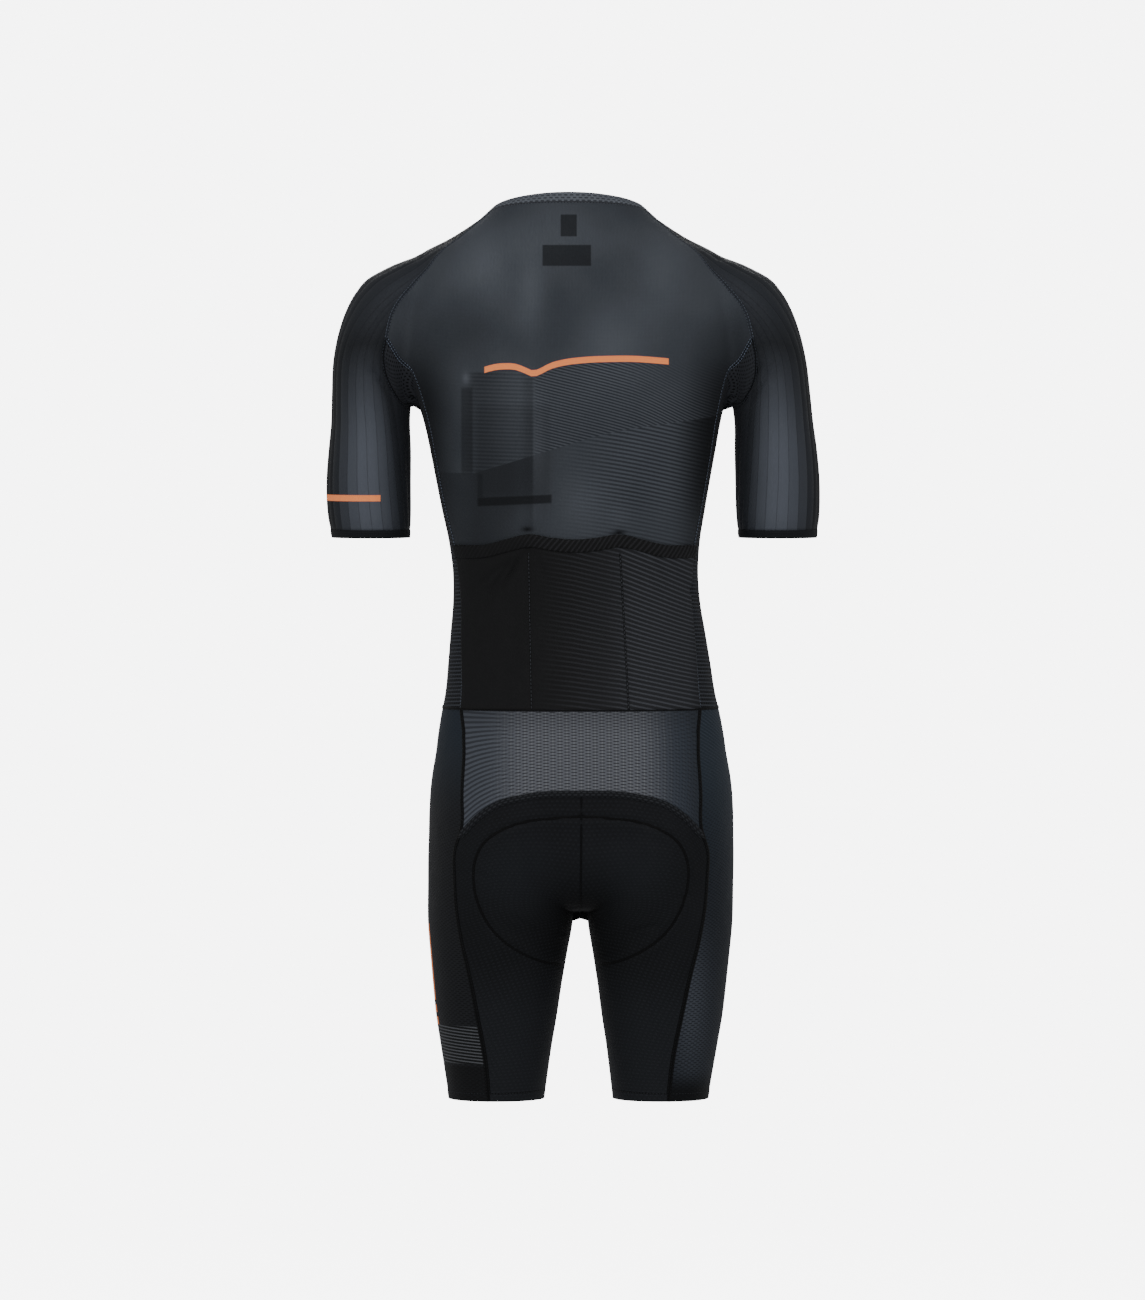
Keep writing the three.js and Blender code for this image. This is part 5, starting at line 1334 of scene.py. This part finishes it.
padGrid = np.concatenate([mirror(padHalf[:, 1:])[:, ::-1], padHalf], axis=1)
padSwell = (1 - np.abs(padOver) ** 4) * (1 - np.abs(2 * padShare[:, None] - 1) ** 6)


# The pad seen through the seat: a soft rise inside its rim and a narrow groove along it.
def padImprint(grid):
    away = toLine(np.abs(grid) * [1, 0, 0] + grid * [0, 1, 1], rimLine)
    return 0.6 * np.exp(-(((away - 6) / 3.6) ** 2)) - 1.0 * np.exp(-((away / 2.4) ** 2))


seatRelief = padImprint(seatGrid)


# The turned-up hem: 0.5 out at the hem, easing to none from 7.6 to 9 above it.
def hemStep(grid):
    return 0.5 * smoothStep(hem + 9, hem + 7.6, grid[..., 2])


tapeRelief = 0.35 * np.sin(math.pi * tapeRise)
seatTape = clothMesh("seatTape", tapeGrid, lift=0.7, relief=tapeRelief, middle=backColumns // 2)
wear(seatTape, bandFinish("arch tape", (26, 27, 30), (52, 54, 58)), "seat_tape")
legSeatFinish, legFrontFinish = seatFinish("seat cloth", True), seatFinish("front leg cloth", False)
for hand, way in gridWays:
    side = hand.lower()
    piece = clothMesh("seat" + hand, way(seatGrid), relief=seatRelief + hemStep(seatGrid))
    wear(piece, legSeatFinish, "seat_" + side, cut=(0.17, 0.36), area=0.0445)
    frontRelief = padImprint(frontLegGrid) * 0.3 + hemStep(frontLegGrid)
    piece = clothMesh("frontLeg" + hand, way(frontLegGrid), relief=frontRelief)
    wear(piece, legFrontFinish, "front_leg_" + side, cut=(0.18, 0.44), area=0.0575)
    piece = clothMesh("outerLeg" + hand, way(outerLegGrid), relief=hemStep(outerLegGrid))
    legFinish = outerLegFinish("outer leg cloth " + side, hand == "Left")
    wear(piece, legFinish, "side_leg_" + side,
         cut=(0.19, 0.42), area=0.065)
strip("padRimStitches", bothSides(rimLine[rimLine[:, 1] > -10]), 4.4, 0.1, lift=-0.5,
      finish=seamFinish("pad rim stitching", (12, 12, 13), (18, 18, 20), rows=0.0))
hemHeights = []
for chartLine in (seatGrid, frontLegGrid, outerLegGrid):
    row = np.argmin(np.abs(chartLine[:, chartLine.shape[1] // 2, 2] - (hem + 8.5)))
    hemHeights += bothSides(chartLine[row])
strip("hemStitches", hemHeights, 1.8, 0.1, lift=0.2,
      finish=seamFinish("hem stitching", (12, 12, 13), (44, 46, 50), rows=0.0))
print("lower panels sewn")


# A closed body between two grids of places: both faces, and a rim that joins their edges.
def shell(name, outer, inner):
    rows, columns = outer.shape[:2]
    top = np.arange(rows * columns).reshape(rows, columns)
    low = top + rows * columns
    faces = [np.stack(cellCorners(top), -1).reshape(-1, 4)]
    faces.append(np.stack([low[:-1, :-1], low[1:, :-1], low[1:, 1:], low[:-1, 1:]], -1).reshape(-1, 4))
    edge = np.concatenate([top[0], top[1:, -1], top[-1, -2::-1], top[-2::-1, 0]])
    faces.append(np.stack([edge[1:], edge[:-1], edge[:-1] + rows * columns, edge[1:] + rows * columns], -1))
    faces = np.concatenate(faces)
    points = placed(np.concatenate([outer.reshape(-1, 3), inner.reshape(-1, 3)]))
    volume = 0.0
    for a, b in ((1, 2), (2, 3)):
        corner = [points[faces[:, k]] for k in (0, a, b)]
        volume += (np.cross(corner[0], corner[1]) * corner[2]).sum()
    if volume < 0:
        faces = faces[:, ::-1]
    uv = np.tile(clothMap(outer, 0).reshape(-1, 2), (2, 1))
    return newPiece(name, points, faces, uv[faces.ravel()])


def foamFinish(name):
    f = Finish(name, Sheen_Weight=0.1, Specular_IOR_Level=0.2)
    u, v = f.cloth()
    fine = f.noise(60.0, 4.0)
    cell = bricks(u, v, 5.0, 4.4, 0.5, 0.5)
    base = f.mix(fine, paint(36, 37, 40), paint(50, 51, 55))
    base = f.mix(cell * 0.6, base, paint(26, 27, 29))
    return f.dressed(base, 0.8 + fine * 0.15, fine * 0.4 - cell, 0.5)


# Seat pad: it swells to its middle, with three channels along it on the wearer's face
padShape = {
    "gap": 3.2,  # from the seat cloth's surface to the pad at its rim
    "standOff": 7,  # how much further in the middle of the pad stands
    "thickness": 7, "edge": 0.22,  # the foam in the middle, and the rim's share of it
    "channels": ((0, 1.6, 0.07), (0.42, 0.9, 0.05)),  # share of the half width, depth, spread
}
padFaces = outward(padGrid)
padLevel = -padShape["gap"] - padShape["standOff"] * padSwell
padOuter = padGrid + padFaces * padLevel[..., None]
channels = sum(deep * np.exp(-(((np.abs(padOver) - at) / spread) ** 2))
               for at, deep, spread in padShape["channels"])
padEdge = padShape["edge"]
padDeep = padShape["thickness"] * (padEdge + (1 - padEdge) * padSwell) - channels * padSwell
padInner = padGrid + padFaces * (padLevel - padDeep)[..., None]
pad = shell("seatPad", padOuter, padInner)
pad.data.materials.append(foamFinish("moulded pad foam"))
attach(pad, "garment")
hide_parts("seat_pad")

# Zip: tapes behind the fronts, and the coil between them with its ridges along the run
zipShape = {
    "top": 4.0,  # height where the tapes end
    "tapeEdge": 16.0, "coilEdge": 2.05,  # from the middle
    "ridgePitch": 1.3, "coilThickness": 1.6,
}
zipLevels = along((waist, zipHeights[-1], count(160)), (zipHeights[-1], zipShape["top"], 8))


def zipStrip(low, high, columns):
    x = np.linspace(low, high, columns + 1)
    x, z = np.meshgrid(x, zipLevels)
    return frontFace[0](x, z)


tapeFinish = bandFinish("zip tape", (38, 40, 44), (30, 31, 34), False)
coilStrip = zipStrip(-zipShape["coilEdge"], zipShape["coilEdge"], 6)
coilRun = runAlong(coilStrip[:, 3])
coilSteps = np.linspace(0, coilRun[-1], int(coilRun[-1] / (0.4 * thin)) + 1)
coilGrid = np.empty((len(coilSteps), 7, 3))
for i in range(7):
    for k in range(3):
        coilGrid[:, i, k] = np.interp(coilSteps, coilRun, coilStrip[:, i, k])
coilOver = np.linspace(-1, 1, 7)[None]
ridge = np.abs(np.sin(math.pi * coilSteps / zipShape["ridgePitch"]))[:, None] * (1 - coilOver**4) * 0.55
coil = clothMesh("zipCoil", coilGrid, lift=-0.25, relief=ridge + 0.25 * (1 - coilOver**2))
coilFinish = Finish("zip coil", Specular_IOR_Level=0.45)
coilV = coilFinish.cloth()[1]
ridgePitch = zipShape["ridgePitch"]
coilTone = coilFinish.mix(coilV.wave(ridgePitch), paint(22, 23, 25), paint(54, 56, 60))
coilRoughness = 0.35 + coilFinish.noise(90.0) * 0.2
coil.data.materials.append(coilFinish.dressed(coilTone, coilRoughness, coilV.wave(ridgePitch), 0.2))
solidified(coil, zipShape["coilThickness"])
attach(coil, "garment")
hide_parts("zip_coil")
stitchHeights = np.linspace(waist, neckFront[0, 2] - 1, count(160) + 1)
zipEdgeLine = evenly(frontFace[0](np.full_like(stitchHeights, suit["zipOpening"] + 3.0), stitchHeights))
zipStitches = strip("zipStitches", bothSides(zipEdgeLine), 2.0, 0.1, lift=0.12,
                    finish=seamFinish("zip stitching", (44, 46, 50), (84, 88, 96), rows=0.0))
for hand, way in gridWays:
    half = zipStrip(zipShape["coilEdge"] + 0.3, zipShape["tapeEdge"], 10)
    piece = clothMesh("zipTape" + hand, way(half), lift=-2.1)
    wear(piece, tapeFinish, "zip_tape_" + hand.lower(), cut=(0.0137, 0.49), thickness=0.8)
zipMetal = metalFinish("painted zip metal")
for node in ("zip_slider", "zip_pull"):
    metal = frame["nodes"][node]
    metal.data.materials.clear()
    metal.data.materials.append(zipMetal)
print("pad and zip made")

# Studio: a plain pale floor with pale walls far round it, even light round about and soft lamps
studio = {
    "floorHeight": -1.5, "reach": 22, "paleness": 6.5, "roundLight": 0.42, "distance": 12.0, "lens": 313.7,
    "aim": (0, 0, -0.411),
    "lamps": [  # name, place, width, height, watts
        ("key", (0.4, 4.4, 1.5), 2.6, 2.0, 62), ("left fill", (3.4, 2.2, 0.6), 1.2, 2.2, 14),
        ("right fill", (-3.4, 2.2, 0.6), 1.2, 2.2, 14), ("front fill", (0.0, -4.4, 1.3), 2.4, 2.0, 60),
    ],
}
reach, level = studio["reach"], studio["floorHeight"]
around = ((-reach, -reach), (reach, -reach), (reach, reach), (-reach, reach))
corners = [(x, y, z) for z in (level, reach) for x, y in around]
walls = [(0, 1, 2, 3), (4, 7, 6, 5), (0, 4, 5, 1), (1, 5, 6, 2), (2, 6, 7, 3), (3, 7, 4, 0)]
roomMesh = bpy.data.meshes.new("room")
roomMesh.from_pydata(corners, [], walls)
room = bpy.data.objects.new("room", roomMesh)
bpy.context.scene.collection.objects.link(room)
roomFinish = Finish("pale room", Specular_IOR_Level=0.0, Emission_Strength=studio["paleness"])
roomTone = roomFinish.mix(roomFinish.noise(3.0), paint(247, 247, 248), paint(250, 250, 250))
roomFinish.tree.links.new(roomTone, roomFinish.shader.inputs["Emission Color"])
roomMesh.materials.append(roomFinish.dressed(roomTone))
# the room is seen, but it throws no light or shade
room.visible_diffuse = room.visible_glossy = room.visible_shadow = False
room.visible_transmission = False
world = bpy.data.worlds.new("studio")
world.use_nodes = True
sky = world.node_tree.nodes["Background"]
sky.inputs["Color"].default_value = (0.97, 0.98, 1.0, 1.0)
sky.inputs["Strength"].default_value = studio["roundLight"]
bpy.context.scene.world = world

for name, place, width, height, power in studio["lamps"]:
    data = bpy.data.lights.new(name, "AREA")
    data.shape, data.size, data.size_y, data.energy = "RECTANGLE", width, height, power
    light = bpy.data.objects.new(name, data)
    light.location, light.rotation_mode, light.visible_camera = place, "QUATERNION", False
    light.rotation_quaternion = (Vector(place) - Vector(studio["aim"])).to_track_quat("Z", "Y")
    bpy.context.scene.collection.objects.link(light)

camera = bpy.data.objects.new("camera", bpy.data.cameras.new("camera"))
camera.data.lens, camera.data.sensor_width = studio["lens"], 36
camera.location, camera.rotation_mode = (0, studio["distance"], 0), "QUATERNION"
camera.rotation_quaternion = (camera.location - Vector(studio["aim"])).to_track_quat("Z", "Y")
bpy.context.scene.collection.objects.link(camera)
bpy.context.scene.camera = camera
print("studio set")
